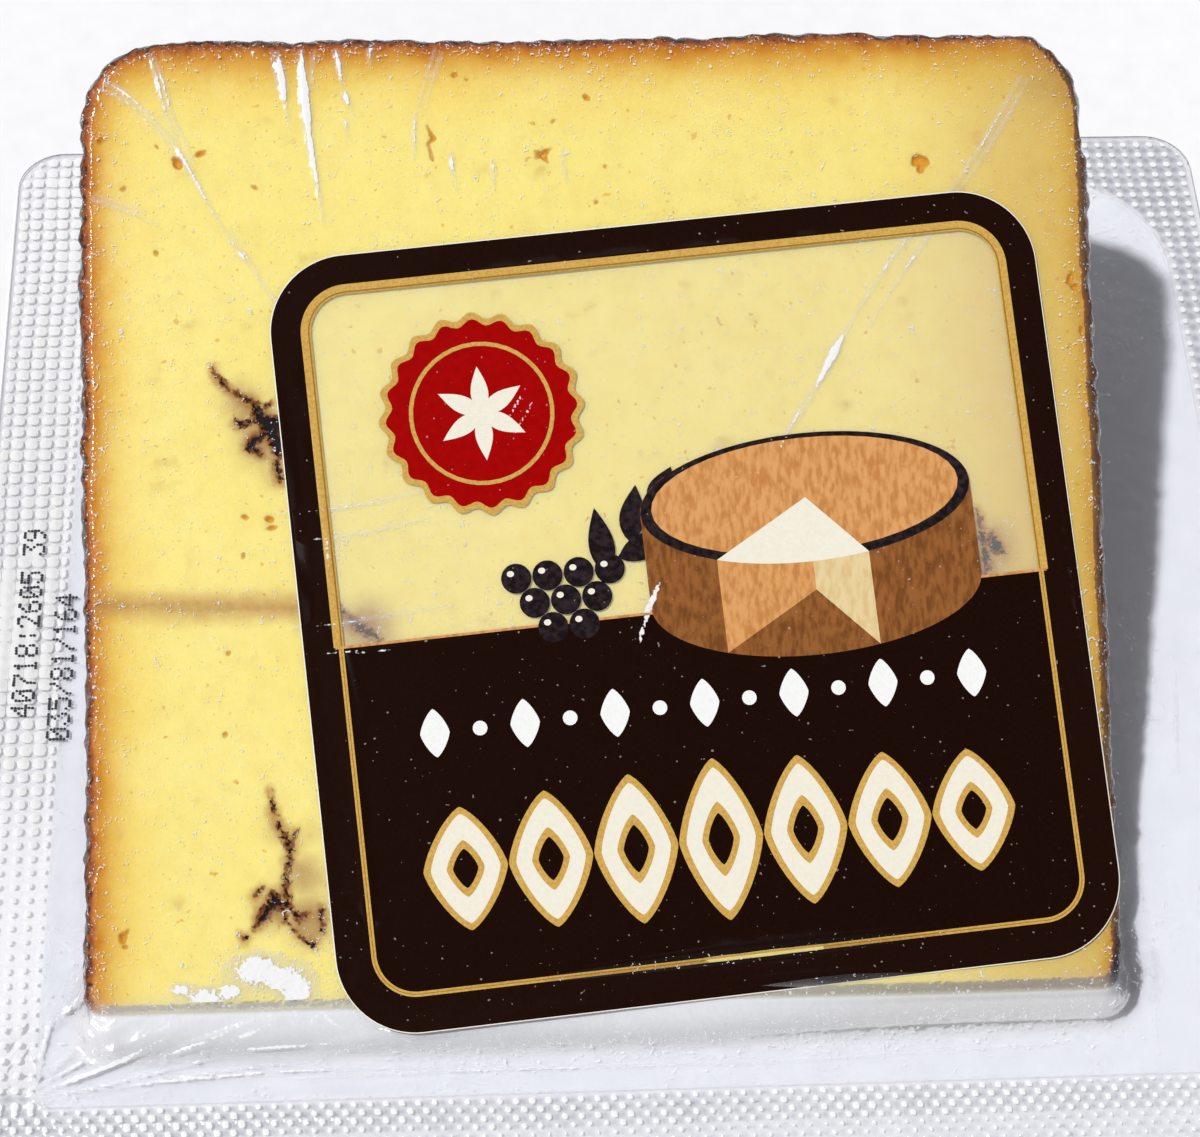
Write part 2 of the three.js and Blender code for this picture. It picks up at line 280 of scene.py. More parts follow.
@dataclass(frozen=True)
class WedgeForm:
    """The wedge as the solids have it, and how its outline wanders from true."""

    radius: float = 93.5
    height: float = 98.0
    angle: float = 2 * math.pi / 14
    tip_top: float = 3.0
    base: float = 0.8
    rim_corner: float = 8.0
    tip_corner: float = 2.5
    edge_round: float = 1.0
    swell: float = 0.25
    wander: float = 0.55
    crag: float = 0.85

    def plan(self) -> Plan:
        """The wedge's outline, measured across and out from the thin edge."""
        half = self.height / 2
        radii = (self.tip_corner, self.tip_corner, self.rim_corner, self.rim_corner)
        return Plan(-half, half, 0, self.radius, radii)

    def thick(self, out: Array) -> Array:
        """The wedge's thickness, measured round the wheel's axis."""
        return out * self.angle + self.tip_top - self.base

    def rise(self, across: Array, up: Array) -> Array:
        """The cut face's gentle swell over its own plane."""
        wide = np.sin(across / 17 + 0.6) * np.cos(up / 21 - 0.4)
        narrow = np.sin((across + up) / 11)
        return self.swell * (0.7 * wide + 0.3 * narrow)

    def place(self, across: Array, out: Array, share: Array) -> Array:
        """Finds places in the wedge.

        Args:
            across: Distance from the wedge's middle.
            out: Distance from the wheel's axis.
            share: 0 on the lower cut face, 1 on the upper one.

        Returns:
            Places in the wedge's frame.
        """
        turn = self.angle * share
        lift = self.base + (self.tip_top - self.base) * share
        swell = self.rise(across, out) * share
        y = out * np.cos(turn) - swell * np.sin(turn)
        z = out * np.sin(turn) + lift + swell * np.cos(turn)
        return np.column_stack([across, y, z])

    def on_face(self, face: Array, off: Array) -> Array:
        """Places over the upper cut face, a distance off it."""
        over = off + self.rise(face[:, 0], face[:, 1])
        y = face[:, 1] * math.cos(self.angle) - over * math.sin(self.angle)
        z = face[:, 1] * math.sin(self.angle) + over * math.cos(self.angle) + self.tip_top
        return np.column_stack([face[:, 0], y, z])

    def from_rind(self, face: Array) -> tuple[Array, Array]:
        """Measures how far in from the rind places lie.

        Args:
            face: Distances across and out.

        Returns:
            The distance in, and the direction of the nearest rind.
        """
        beyond = np.column_stack([
            np.abs(face[:, 0]) - (self.height / 2 - self.rim_corner),
            face[:, 1] - (self.radius - self.rim_corner),
        ])
        over = np.maximum(beyond, 0)
        reach = np.linalg.norm(over, axis=1)
        inside = self.rim_corner - reach - np.minimum(beyond.max(axis=1), 0)
        outward = over / np.maximum(reach, 1e-6)[:, None]
        outward[:, 0] *= np.sign(face[:, 0])
        return inside, outward

    def wandered(self, face: Array, depth: Array, rough: float) -> Array:
        """Shifts places near the rind, so that its outline wanders and its skin is craggy.

        Args:
            face: Distances across and out.
            depth: Distance down from the upper cut face.
            rough: Share of the crags that is followed.

        Returns:
            The shifted distances across and out.
        """
        inside, outward = self.from_rind(face)
        inside = np.maximum(inside, 0)
        at = np.column_stack([face, depth])
        wide = self.wander * noise(at, 15, 11, 2) * np.exp(-inside / 6)
        crags = 0.5 * noise(at * [1, 1, 0.8], 5.3, 23, 3) + 0.5 * np.abs(noise(at, 2.3, 29, 2)) - 0.2
        crags += 0.32 * noise(at, 0.9, 31)
        shift = (wide + rough * self.crag * crags * np.exp(-inside / 1.1))[:, None] * outward
        return face + shift


@dataclass(frozen=True)
class PackForm:
    """The flat sealed edge round the wedge."""

    wedge: WedgeForm = WedgeForm()
    edge_margin: tuple[float, float, float, float] = (13.2, 22.6, 15.5, 14.3)
    seal_margin: tuple[float, float, float, float] = (4.7, 17.8, 7.9, 7.9)
    collar_reach: float = 4.0
    collar_tall: float = 4.5
    collar_low: float = 1.7
    # Spacing of the points where the flat film meets the sealed band.
    seal_pitch: float = 0.4
    flat: float = 0.42

    def outline(self, margin: tuple[float, float, float, float], radii: Radii) -> Plan:
        """The wedge's footprint grown on its left, right, front and back."""
        half = self.wedge.height / 2
        left, right, front, back = margin
        return Plan(-half - left, half + right, -front, self.wedge.radius + back, radii)

    def edge(self) -> Plan:
        """The pack's outer edge."""
        return self.outline(self.edge_margin, (5, 5, 5, 5))

    def seal(self) -> Plan:
        """The inner edge of the sealed band."""
        return self.outline(self.seal_margin, (1.5, 4, 13, 6))

    def landing(self) -> Plan:
        """Where the film that comes down the walls meets the ground."""
        return self.wedge.plan().inset(-self.collar_reach)


WEDGE = WedgeForm()
PACK = PackForm()
FILM_LOW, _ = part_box("film_pouch")
ORIGIN = np.array([FILM_LOW.x / MM - PACK.edge().left, FILM_LOW.y / MM - PACK.edge().front, 0.0])


# ---- meshes ----


@dataclass
class Draft:
    """A mesh in the making, in the wedge's frame."""

    points: list[Array] = field(default_factory=list)
    faces: list[list[int]] = field(default_factory=list)
    values: dict[str, list[Array]] = field(default_factory=dict)
    prints: list[int] = field(default_factory=list)
    count: int = 0

    def add(self, points: Array, **values: Array | float) -> Array:
        """Adds points.

        Args:
            points: Their places.
            **values: Named numbers for a material to read, the same names at every call.

        Returns:
            The points' indices.
        """
        for label, numbers in values.items():
            spread = np.broadcast_to(np.asarray(numbers, float), len(points))
            self.values.setdefault(label, []).append(spread)
        self.points.append(points)
        self.count += len(points)
        return np.arange(self.count - len(points), self.count)

    def strip(self, upper: Array, lower: Array) -> None:
        """Joins two closed rings of the same length, the lower one further out."""
        self.faces += np.column_stack([upper, lower, np.roll(lower, -1), np.roll(upper, -1)]).tolist()

    def web(
        self,
        flat: Array,
        index: Array,
        loops: list[int],
        hole: Plan | None = None,
        up: bool = True,
    ) -> None:
        """Fills closed outlines with triangles.

        Args:
            flat: The outlines' places and then those inside, two numbers each.
            index: The same points' indices in the mesh.
            loops: Length of each outline.
            hole: An outline that stays open.
            up: Whether the triangles face up.
        """
        starts = np.cumsum([0, *loops])
        rings = [list(range(start, stop)) for start, stop in zip(starts, starts[1:])]
        _, _, faces, origins, _, _ = delaunay_2d_cdt([Vector(at) for at in flat.tolist()], [], rings, 1, 1e-6)
        corners = np.array([[origins[corner][0] for corner in face] for face in faces])
        if hole is not None:
            corners = corners[hole.depth(flat[corners].mean(axis=1)) < 0]
        self.faces += index[corners if up else corners[:, ::-1]].tolist()

    def piece(
        self,
        name: str,
        finishes: list[bpy.types.Material],
        replaced: tuple[str, ...] = (),
    ) -> bpy.types.Object:
        """Args:
            name: The piece's name.
            finishes: Its materials, in the order that prints counts them.
            replaced: Solids that it stands for.

        Returns:
            The new object.
        """
        mesh = bpy.data.meshes.new(name)
        mesh.from_pydata(((np.concatenate(self.points) + ORIGIN) * MM).tolist(), [], self.faces)
        for label, numbers in self.values.items():
            values = mesh.attributes.new(label, "FLOAT", "POINT")
            values.data.foreach_set("value", np.concatenate(numbers).astype(np.float32))
        for finish in finishes:
            mesh.materials.append(finish)
        if self.prints:
            mesh.polygons.foreach_set("material_index", self.prints)
        mesh.shade_smooth()
        made = bpy.data.objects.new(name, mesh)
        bpy.context.scene.collection.objects.link(made)
        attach(made, BODY)
        if replaced:
            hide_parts(*replaced)
        triangles = sum(len(face) - 2 for face in self.faces)
        log.info("%s: %d triangles", name, triangles)
        return made


# ---- materials ----


def add_node(
    tree: Tree,
    kind: str,
    inputs: dict[str | int, object] | None = None,
    ramp: list[tuple[float, str]] | None = None,
    **settings: object,
) -> bpy.types.Node:
    """Adds one node with its settings, values and links.

    Args:
        tree: The material's node tree.
        kind: Blender's name for the node, without its family.
        inputs: Values, or sockets to link, by input name or number.
        ramp: Places and colours of a colour ramp.
        **settings: The node's own properties.

    Returns:
        The new node.
    """
    node = tree.nodes.new("ShaderNode" + kind)
    for name, value in settings.items():
        setattr(node, name, value)
    for name, value in (inputs or {}).items():
        if isinstance(value, bpy.types.NodeSocket):
            tree.links.new(value, node.inputs[name])
        else:
            node.inputs[name].default_value = value
    if ramp:
        stops = node.color_ramp.elements
        while len(stops) < len(ramp):
            stops.new(0.5)
        for stop, (place, colour) in zip(stops, ramp):
            stop.position = place
            stop.color = linear(colour)
    return node


def blank(name: str) -> tuple[bpy.types.Material, Tree, Socket]:
    """Starts a material.

    Args:
        name: The real material and how its surface was made.

    Returns:
        The material, its empty node tree, and the surface's own coordinates in millimetres.
    """
    made = bpy.data.materials.new(name)
    made.use_nodes = True
    tree = made.node_tree
    tree.nodes.clear()
    place = add_node(tree, "TexCoord").outputs["Object"]
    scaled = add_node(tree, "VectorMath", {0: place, "Scale": 1 / MM}, operation="SCALE")
    return made, tree, scaled.outputs[0]


def grain(tree: Tree, place: Socket, pitch: float, detail: float = 2.0, twist: float = 0.0) -> Socket:
    """A noise whose bumps are a pitch in millimetres wide."""
    settings = {"Vector": place, "Scale": 1 / pitch, "Detail": detail, "Distortion": twist}
    return add_node(tree, "TexNoise", settings).outputs[0]


def maths(tree: Tree, operation: str, *values: object) -> Socket:
    """The outcome of one sum on sockets or numbers."""
    return add_node(tree, "Math", dict(enumerate(values)), operation=operation).outputs[0]


def stepped(
    tree: Tree,
    value: Socket,
    start: float,
    full: float,
    reach: float = 1.0,
    base: float = 0.0,
) -> Socket:
    """A smooth step from base at start to reach at full."""
    inputs = {"Value": value, "From Min": start, "From Max": full, "To Min": base, "To Max": reach}
    return add_node(tree, "MapRange", inputs, interpolation_type="SMOOTHSTEP").outputs[0]


def measured(tree: Tree, label: str) -> Socket:
    """A number stored with the mesh."""
    return add_node(tree, "Attribute", attribute_name=label).outputs["Fac"]


def blended(tree: Tree, share: object, under: object, over: object) -> Socket:
    """One colour laid over another."""
    return add_node(tree, "Mix", {0: share, 6: under, 7: over}, data_type="RGBA").outputs[2]


def crested(tree: Tree, place: Socket, label: str, ragged: float) -> Socket:
    """Millimetres inside a crease's crest, where a highlight is painted white, made ragged by grain 0.4 mm
    wide.
    """
    away = maths(tree, "SUBTRACT", grain(tree, place, 0.4, 1.0), 0.5)
    return maths(tree, "MULTIPLY_ADD", away, ragged, measured(tree, label))


def bumped(
    tree: Tree,
    height: Socket,
    tall: float,
    strength: object = 1.0,
    under: Socket | None = None,
) -> Socket:
    """A normal roughened by a height that runs from 0 to 1 over so many millimetres."""
    inputs = {"Height": height, "Strength": strength, "Distance": tall * MM}
    if under is not None:
        inputs["Normal"] = under
    return add_node(tree, "Bump", inputs).outputs[0]


def finished(tree: Tree, surface: Socket) -> None:
    """Links the last shader to the material's output."""
    add_node(tree, "OutputMaterial", {"Surface": surface})


@dataclass(frozen=True)
class Layer:
    """A colour laid where a measured value passes a ragged threshold."""

    value: str
    colour: str
    start: float
    full: float
    ragged: float = 0.0
    pitch: float = 1.0
    strength: float = 1.0

    def over(self, tree: Tree, place: Socket, under: Socket) -> Socket:
        """Lays the colour over another.

        Args:
            tree: The material's node tree.
            place: Coordinates in millimetres.
            under: The colour beneath.

        Returns:
            The mixed colour.
        """
        value = measured(tree, self.value)
        if self.ragged:
            away = maths(tree, "SUBTRACT", grain(tree, place, self.pitch, 2.0), 0.5)
            value = maths(tree, "MULTIPLY_ADD", away, 2 * self.ragged, value)
        share = stepped(tree, value, self.start, self.full, self.strength)
        return blended(tree, share, under, linear(self.colour))


@dataclass(frozen=True)
class PressedPaste:
    """Pressed hard cheese, cut by wire: a dense, waxy paste that browns towards a rubbed, roasted rind."""

    # Distances in from the rind, less than 0 on the rind itself, with the colour there.
    browning: tuple[tuple[float, str], ...] = (
        (-1.5, "#7A3A0A"),
        (-0.3, "#8E4409"),
        (0.3, "#A85808"),
        (0.8, "#C2730E"),
        (1.4, "#D6922A"),
        (2.2, "#E2B144"),
        (3.2, "#ECC95F"),
        (4.6, "#F2DA75"),
        (6.5, "#F7E68B"),
        (10.0, "#F8EC99"),
    )
    # Curd grains about 2 mm across and wider clouds: pitch, colour and strength.
    curd: tuple[tuple[float, str, float], ...] = (
        (9.0, "#FAF1AC", 0.35),
        (2.0, "#EDD880", 0.20),
        (0.5, "#FAF5C0", 0.14),
    )
    layers: tuple[Layer, ...] = (
        # Tan over the right of the face: partly drier paste by the right rind, partly painted shade where the
        # light falls off across the face.
        Layer("dry", "#CDA24C", 0.0, 1.0),
        Layer("seam", "#C9985A", -1.0, 1.1, 0.70, 1.6, 0.60),
        Layer("seam", "#A8743C", 0.6, 1.25, 0.50, 0.6, 0.30),
        Layer("stain", "#BC9768", 0.10, 1.0, 0.16, 1.6, 0.75),
        Layer("vein", "#B5701E", -0.9, 0.1, 0.80, 1.6, 0.60),
        Layer("vein", "#7A3616", -0.3, 0.16, 0.90, 0.6, 0.85),
        Layer("vein", "#3A150A", 0.0, 0.2, 1.00, 0.4),
        Layer("vein", "#100706", 0.25, 0.42, 1.00, 0.4),
        Layer("pit", "#C58A26", -0.12, 0.02, 0.16, 0.4, 0.6),
        Layer("pit", "#E2A83A", 0.02, 0.12, 0.18, 0.4),
        Layer("rind", "#964A08", 1.3, 0.3, 0.55, 1.6, 0.80),
        # Lighter orange flecks on the crust: partly its own colour, partly painted highlight on its crags.
        Layer("rind", "#C8761A", 0.9, -0.1, 1.6, 0.4, 0.45),
        Layer("rind", "#5E1D03", 0.7, -0.1, 1.5, 0.6, 0.85),
        Layer("rind", "#260A03", 0.2, -0.3, 1.9, 0.6, 0.85),
        Layer("wall", "#B47A38", 0.2, 0.9, 0.9, 3.0, 0.55),
        Layer("wall", "#5A2A10", 0.4, 0.9, 0.9, 1.6, 0.6),
    )

    def browned(self, tree: Tree, place: Socket) -> Socket:
        """The paste's colour from the rind inwards.

        Args:
            tree: The material's node tree.
            place: Coordinates in millimetres.

        Returns:
            The colour.
        """
        low, high = self.browning[0][0], self.browning[-1][0]
        depth = measured(tree, "rind")
        # Smoke and brine soak in unevenly, in patches 3 mm and 1.6 mm wide.
        for pitch, amount in ((3.0, 1.3), (1.6, 1.3)):
            away = maths(tree, "SUBTRACT", grain(tree, place, pitch, 2.0), 0.5)
            depth = maths(tree, "MULTIPLY_ADD", away, amount, depth)
        share = add_node(tree, "MapRange", {"Value": depth, "From Min": low, "From Max": high}).outputs[0]
        stops = [((at - low) / (high - low), colour) for at, colour in self.browning]
        return add_node(tree, "ValToRGB", {0: share}, ramp=stops).outputs[0]

    def material(self) -> bpy.types.Material:
        """Lays curd, flecks, veins, openings and crust over the browned paste.

        Returns:
            The finished material.
        """
        made, tree, place = blank("pressed_cheese_cut_by_wire")
        colour = self.browned(tree, place)
        depth = measured(tree, "rind")
        inside = stepped(tree, depth, 1.5, 5.0)
        for pitch, tint, amount in self.curd:
            share = stepped(tree, grain(tree, place, pitch), 0.42, 0.68, amount)
            colour = blended(tree, maths(tree, "MULTIPLY", share, inside), colour, linear(tint))
        # Specks of toasted milk sugar, a few tenths of a millimetre wide.
        for pitch, cut in ((0.9, 0.735), (0.45, 0.735)):
            share = stepped(tree, grain(tree, place, pitch, 1.0), cut, cut + 0.04, 0.5)
            colour = blended(tree, maths(tree, "MULTIPLY", share, inside), colour, linear("#D29A33"))
        for layer in self.layers:
            colour = layer.over(tree, place, colour)
        # The crust is scuffed and blistered; the paste only has the drag of the wire.
        crust = stepped(tree, depth, 1.6, 0.0)
        rough = stepped(tree, crust, 0.0, 1.0, 0.9, 0.10)
        drag = bumped(tree, grain(tree, place, 0.4, 2.0), 0.22, rough)
        blister = bumped(tree, grain(tree, place, 1.6, 2.0), 0.9, maths(tree, "MULTIPLY", crust, 0.7), drag)
        surface = add_node(
            tree,
            "BsdfPrincipled",
            {
                "Base Color": colour,
                "Roughness": 0.42,
                "IOR": 1.45,
                # The film clings to the paste, which leaves little of the paste's own gloss.
                "Specular IOR Level": 0.12,
                "Normal": blister,
            },
        )
        finished(tree, surface.outputs[0])
        return made


@dataclass(frozen=True)
class ClearFilm:
    """Cast polyamide and polyethylene film: clear and glossy, milky where air lies under it, with painted
    white highlights on its creases, specks and studs.
    """

    name: str
    tint: str = "#FEFEFE"
    haze: float = 0.01
    roughness: float = 0.14
    ripple: float = 0.10
    pitch: float = 1.6
    milk: tuple[str, float, float, float] | None = None
    milky: str = "#FFFFFF"
    lively: str = ""
    streak: str = ""
    grey: tuple[str, str] | None = None

    def material(self) -> bpy.types.Material:
        """Lets most light straight through, with a gloss on top and a little scatter.

        Returns:
            The finished material.
        """
        made, tree, place = blank(self.name)
        # Film this thin ripples about every 1.6 mm; the ripple is what breaks its highlights up.
        normal = bumped(tree, grain(tree, place, self.pitch, 1.0), self.ripple)
        milk: object = self.haze
        white: object = linear(self.milky)
        if self.milk:
            label, start, full, reach = self.milk
            milk = stepped(tree, measured(tree, label), start, full, reach, self.haze)
        if self.lively:
            # Where it clings to the crust the film puckers every 0.42 mm; its worm-like white specks are
            # partly air under the film and partly painted glints.
            lively = measured(tree, self.lively)
            normal = bumped(tree, grain(tree, place, 0.42, 0.0), 0.09, lively, normal)
            speck = maths(tree, "MULTIPLY_ADD", lively, 0.10, grain(tree, place, 0.42, 0.0, 1.8))
            milk = maths(tree, "MAXIMUM", milk, stepped(tree, speck, 0.775, 0.80, 0.85))
        if self.streak:
            # Along a crease's crest the film is painted white, a painted highlight in a line with a torn edge
            # and a fainter painted halo.
            crest = crested(tree, place, self.streak, 0.28)
            halo = stepped(tree, crest, -0.40, 0.05, 0.22)
            solid = stepped(tree, crest, 0.0, 0.09, 0.94)
            milk = maths(tree, "MAXIMUM", maths(tree, "MAXIMUM", milk, halo), solid)
            white = blended(tree, solid, white, linear("#FFFFFF"))
        clear = add_node(tree, "BsdfTransparent", {"Color": linear(self.tint)})
        if self.grey:
            label, shade = self.grey
            share = stepped(tree, measured(tree, label), 0.0, 1.0)
            tone = blended(tree, share, linear(self.tint), linear(shade))
            tree.links.new(tone, clear.inputs["Color"])
        cloud = add_node(tree, "BsdfDiffuse", {"Color": white, "Normal": normal}).outputs[0]
        body = add_node(tree, "MixShader", {0: milk, 1: clear.outputs[0], 2: cloud}).outputs[0]
        gloss = add_node(
            tree,
            "BsdfAnisotropic",
            {"Color": linear("#FFFFFF"), "Roughness": self.roughness, "Normal": normal},
        ).outputs[0]
        facing = add_node(tree, "Fresnel", {"IOR": 1.5, "Normal": normal}).outputs[0]
        surface = add_node(tree, "MixShader", {0: facing, 1: body, 2: gloss})
        finished(tree, surface.outputs[0])
        return made


@dataclass(frozen=True)
class PrintedFilm:
    """Label film with reverse-printed ink under a gloss laminate."""

    name: str
    colour: str
    other: str
    pitch: float = 0.35
    stretch: float = 1.0
    contrast: float = 0.35
    roughness: float = 0.17
    cover: float = 1.0
    streak: str = "streak"

    def material(self) -> bpy.types.Material:
        """Prints the ink with a fine mottle, and lets light through where the ink is thin.

        Returns:
            The finished material.
        """
        made, tree, place = blank(self.name)
        # Ink on film breaks into a mottle a third of a millimetre across.
        along = (1.0, self.stretch, self.stretch)
        drawn = add_node(tree, "VectorMath", {0: place, 1: along}, operation="MULTIPLY").outputs[0]
        share = stepped(tree, grain(tree, drawn, self.pitch, 2.0), 0.35, 0.7, self.contrast)
        colour = blended(tree, share, linear(self.colour), linear(self.other))
        ripple = bumped(tree, grain(tree, place, 2.4, 1.0), 0.03)
        # Dust under the laminate catches the light in tiny white points.
        dust = stepped(tree, grain(tree, place, 0.36, 0.0), 0.82, 0.85, 0.25)
        colour = blended(tree, dust, colour, linear("#F2EDE6"))
        if self.streak:
            # Painted highlight: where the film's folds run over the label, their crests are painted white.
            crest = crested(tree, place, self.streak, 0.34)
            colour = blended(tree, stepped(tree, crest, -0.01, 0.08, 0.9), colour, linear("#FFFFFF"))
        ink = add_node(
            tree,
            "BsdfPrincipled",
            {
                "Base Color": colour,
                "Roughness": self.roughness,
                "IOR": 1.5,
                "Specular IOR Level": 0.2,
                "Normal": ripple,
            },
        )
        if self.cover < 1:
            clear = add_node(tree, "BsdfTransparent", {"Color": linear("#FFFFFF")}).outputs[0]
            ink = add_node(tree, "MixShader", {0: self.cover, 1: clear, 2: ink.outputs[0]})
        finished(tree, ink.outputs[0])
        return made


# ---- the cheese ----


@dataclass(frozen=True)
class Opening:
    """A small hole in the cut face: its middle, length, width and direction in degrees."""

    across: float
    up: float
    long: float
    wide: float
    turn: float = 0.0

    def inside(self, face: Array) -> Array:
        """Millimetres inside the hole's outline, less than 0 outside."""
        angle = math.radians(self.turn)
        gap = face - [self.across, self.up]
        along = gap @ [math.cos(angle), math.sin(angle)]
        over = gap @ [-math.sin(angle), math.cos(angle)]
        reach = np.hypot(2.2 * along / self.long, 2.2 * over / self.wide) * (1 + 0.4 * noise(face, 0.6, 17))
        return (1 - reach) * min(self.long, self.wide) / 2


@dataclass
class CheeseWedge:
    """The cheese: two cut faces, the rind round three sides, and what shows in the upper face."""

    form: WedgeForm = WEDGE
    face_pitch: float = 0.62
    wall_pitch: float = 0.44
    wall_steps: int = 42
    dent_depth: float = 0.5
    vein_depth: float = 0.12
    # How far the browning reaches in from the left, right and rim: above 1 it stays nearer the rind.
    reach: tuple[float, float, float] = (1.25, 2.1, 1.0)
    openings: tuple[Opening, ...] = (
        Opening(-39.6, 81.4, 1.35, 0.95, 110),
        Opening(-37.4, 82.3, 1.1, 0.7, 20),
        Opening(-4.1, 81.8, 1.9, 0.75, 35),
        Opening(-4.2, 81.5, 1.7, 0.7, -42),
        Opening(0.2, 87.4, 0.75, 0.5, 130),
        Opening(32.6, 80.6, 1.5, 1.2, 0),
        Opening(33.2, 80.4, 1.2, 1.1, 60),
        Opening(32.8, 79.9, 1.3, 0.7, 80),
        Opening(47.0, 68.4, 1.6, 0.75, 75),
        Opening(47.3, 67.6, 0.9, 0.8, 0),
        Opening(47.9, 63.2, 1.3, 0.6, -70),
        Opening(-44.8, 79.0, 0.6, 0.4, 40),
        Opening(-47.0, 83.8, 0.8, 0.6, 40),
        Opening(-41.6, 83.1, 0.5, 0.3, 120),
        Opening(-32.2, 78.9, 0.65, 0.4, 150),
        Opening(-41.7, 72.6, 0.5, 0.4, 150),
        Opening(-33.5, 46.7, 0.6, 0.45, -20),
        Opening(-31.2, 46.4, 0.9, 0.7, -20),
        Opening(-31.0, 45.6, 1.2, 0.5, 10),
        Opening(-33.7, 43.0, 0.6, 0.4, 80),
        Opening(-35.7, 26.0, 0.5, 0.4, 35),
        Opening(-35.3, 33.7, 0.5, 0.4, 35),
        Opening(-45.5, 7.2, 0.9, 0.6, 70),
        Opening(-45.2, 6.3, 0.6, 0.5, 0),
        Opening(-12.6, 89.8, 0.6, 0.45, 20),
        Opening(-11.4, 89.3, 0.4, 0.35, 0),
        Opening(1.8, 80.4, 0.4, 0.3, 0),
        Opening(0.9, 76.9, 0.4, 0.3, 30),
        Opening(-3.1, 85.0, 0.4, 0.3, 30),
    )
    tears: tuple[Line, ...] = (
        ((-15.4, 84.8, 0.06), (-14.8, 83.5, 0.26), (-15.3, 83.0, 0.12), (-14.9, 81.4, 0.16)),
        ((-44.9, 7.9, 0.1), (-45.4, 6.9, 0.3)),
    )
    # The dark marbling: corners of each vein, across and up the face, with its half width there.
    veins: tuple[Line, ...] = (
        (
            (-36.5, 61.2, 0.02),
            (-35.8, 60.1, 0.20),
            (-34.8, 59.0, 0.12),
            (-33.5, 58.2, 0.17),
            (-32.4, 57.5, 0.3),
        ),
        (
            (-32.4, 57.5, 0.35),
            (-32.0, 56.4, 0.55),
            (-31.0, 55.4, 0.8),
            (-30.4, 54.0, 0.75),
            (-30.2, 52.6, 0.3),
        ),
        ((-31.0, 55.4, 0.8), (-29.8, 55.4, 0.9), (-28.0, 53.2, 0.5)),
        ((-32.0, 56.9, 0.3), (-30.9, 57.6, 0.05)),
        ((-34.4, 56.0, 0.12), (-33.7, 55.6, 0.3), (-32.9, 55.8, 0.12), (-32.1, 56.2, 0.35)),
        ((-33.0, 53.4, 0.42), (-32.5, 54.1, 0.5), (-31.6, 54.6, 0.4)),
        ((-32.4, 53.1, 0.34), (-31.9, 52.6, 0.1)),
        ((-30.5, 52.0, 0.3), (-30.3, 51.3, 0.32), (-30.0, 49.9, 0.1)),
        (
            (-31.4, 20.5, 0.02),
            (-31.3, 19.1, 0.12),
            (-31.0, 17.7, 0.06),
            (-30.5, 16.7, 0.16),
            (-29.8, 15.4, 0.22),
        ),
        ((-29.8, 15.4, 0.22), (-29.7, 14.5, 0.2), (-30.1, 12.9, 0.14), (-30.2, 11.0, 0.2), (-29.9, 9.6, 0.2)),
        ((-29.8, 15.4, 0.24), (-29.1, 16.6, 0.08)),
        ((-29.9, 9.6, 0.2), (-29.1, 8.6, 0.16), (-28.0, 8.9, 0.02)),
        ((-30.5, 9.8, 0.12), (-30.2, 8.3, 0.05), (-28.7, 6.7, 0.05), (-27.7, 5.9, 0.22)),
        ((-31.5, 11.0, 0.12), (-31.2, 10.1, 0.6), (-31.9, 9.4, 0.5), (-32.5, 8.5, 0.42), (-33.2, 7.6, 0.02)),
        ((-32.4, 11.4, 0.05), (-33.0, 10.9, 0.14)),
        ((-31.2, 10.1, 0.5), (-30.0, 9.7, 0.3)),
        ((-34.1, 6.9, 0.1), (-34.0, 6.8, 0.12)),
        ((-26.9, 9.2, 0.22), (-26.9, 8.6, 0.05), (-26.8, 7.4, 0.14)),
        (
            (-25.0, 37.9, 0.02),
            (-23.8, 36.8, 0.2),
            (-22.8, 35.9, 0.42),
            (-21.8, 35.3, 0.3),
            (-20.9, 34.7, 0.1),
        ),
        ((36.8, 45.8, 0.02), (37.2, 43.4, 0.2), (37.4, 42.2, 0.3), (37.5, 40.6, 0.32), (37.5, 39.4, 0.02)),
        ((38.1, 43.6, 0.05), (38.4, 42.2, 0.55), (39.2, 41.7, 0.2)),
    )
    # Browned paste round them: across, up, reach and strength.
    stains: tuple[tuple[float, float, float, float], ...] = (
        (-33.6, 57.8, 2.6, 0.75),
        (-31.4, 54.2, 3.2, 0.95),
        (-30.6, 50.6, 1.8, 0.6),
        (-31.0, 16.5, 1.5, 0.6),
        (-31.2, 9.4, 2.4, 0.8),
        (-28.0, 8.4, 2.7, 1.0),
        (-28.4, 12.4, 2.4, 0.8),
        (-28.4, 16.2, 1.8, 0.45),
        (-22.0, 35.8, 3.2, 0.9),
        (38.0, 42.0, 3.2, 0.85),
        (46.0, 88.0, 4.5, 0.55),
    )
    seam: Line = (
        (-49.5, 38.7, 1.2),
        (-44.0, 38.4, 1.15),
        (-38.0, 38.2, 1.3),
        (-27.0, 37.9, 1.15),
        (-22.0, 36.6, 0.3),
    )

    def build(self) -> bpy.types.Object:
        """Shapes the wedge as a web on the cut face, rings down the rind, and a plain lower face.

        Returns:
            The cheese.
        """
        form = self.form
        draft = Draft()
        plan = form.plan()
        stations = plan.stations(self.wall_pitch)
        outline, outward = plan.at(stations)
        border = outline - form.edge_round * outward
        inner = plan.inset(form.edge_round).scatter(self.face_pitch, self.detail)
        face = np.concatenate([border, inner])
        moved = form.wandered(face, np.zeros(len(face)), 1.0)
        index = draft.add(form.on_face(moved, self.relief(face)), **self.marks(face))
        draft.web(face, index, [len(border)])

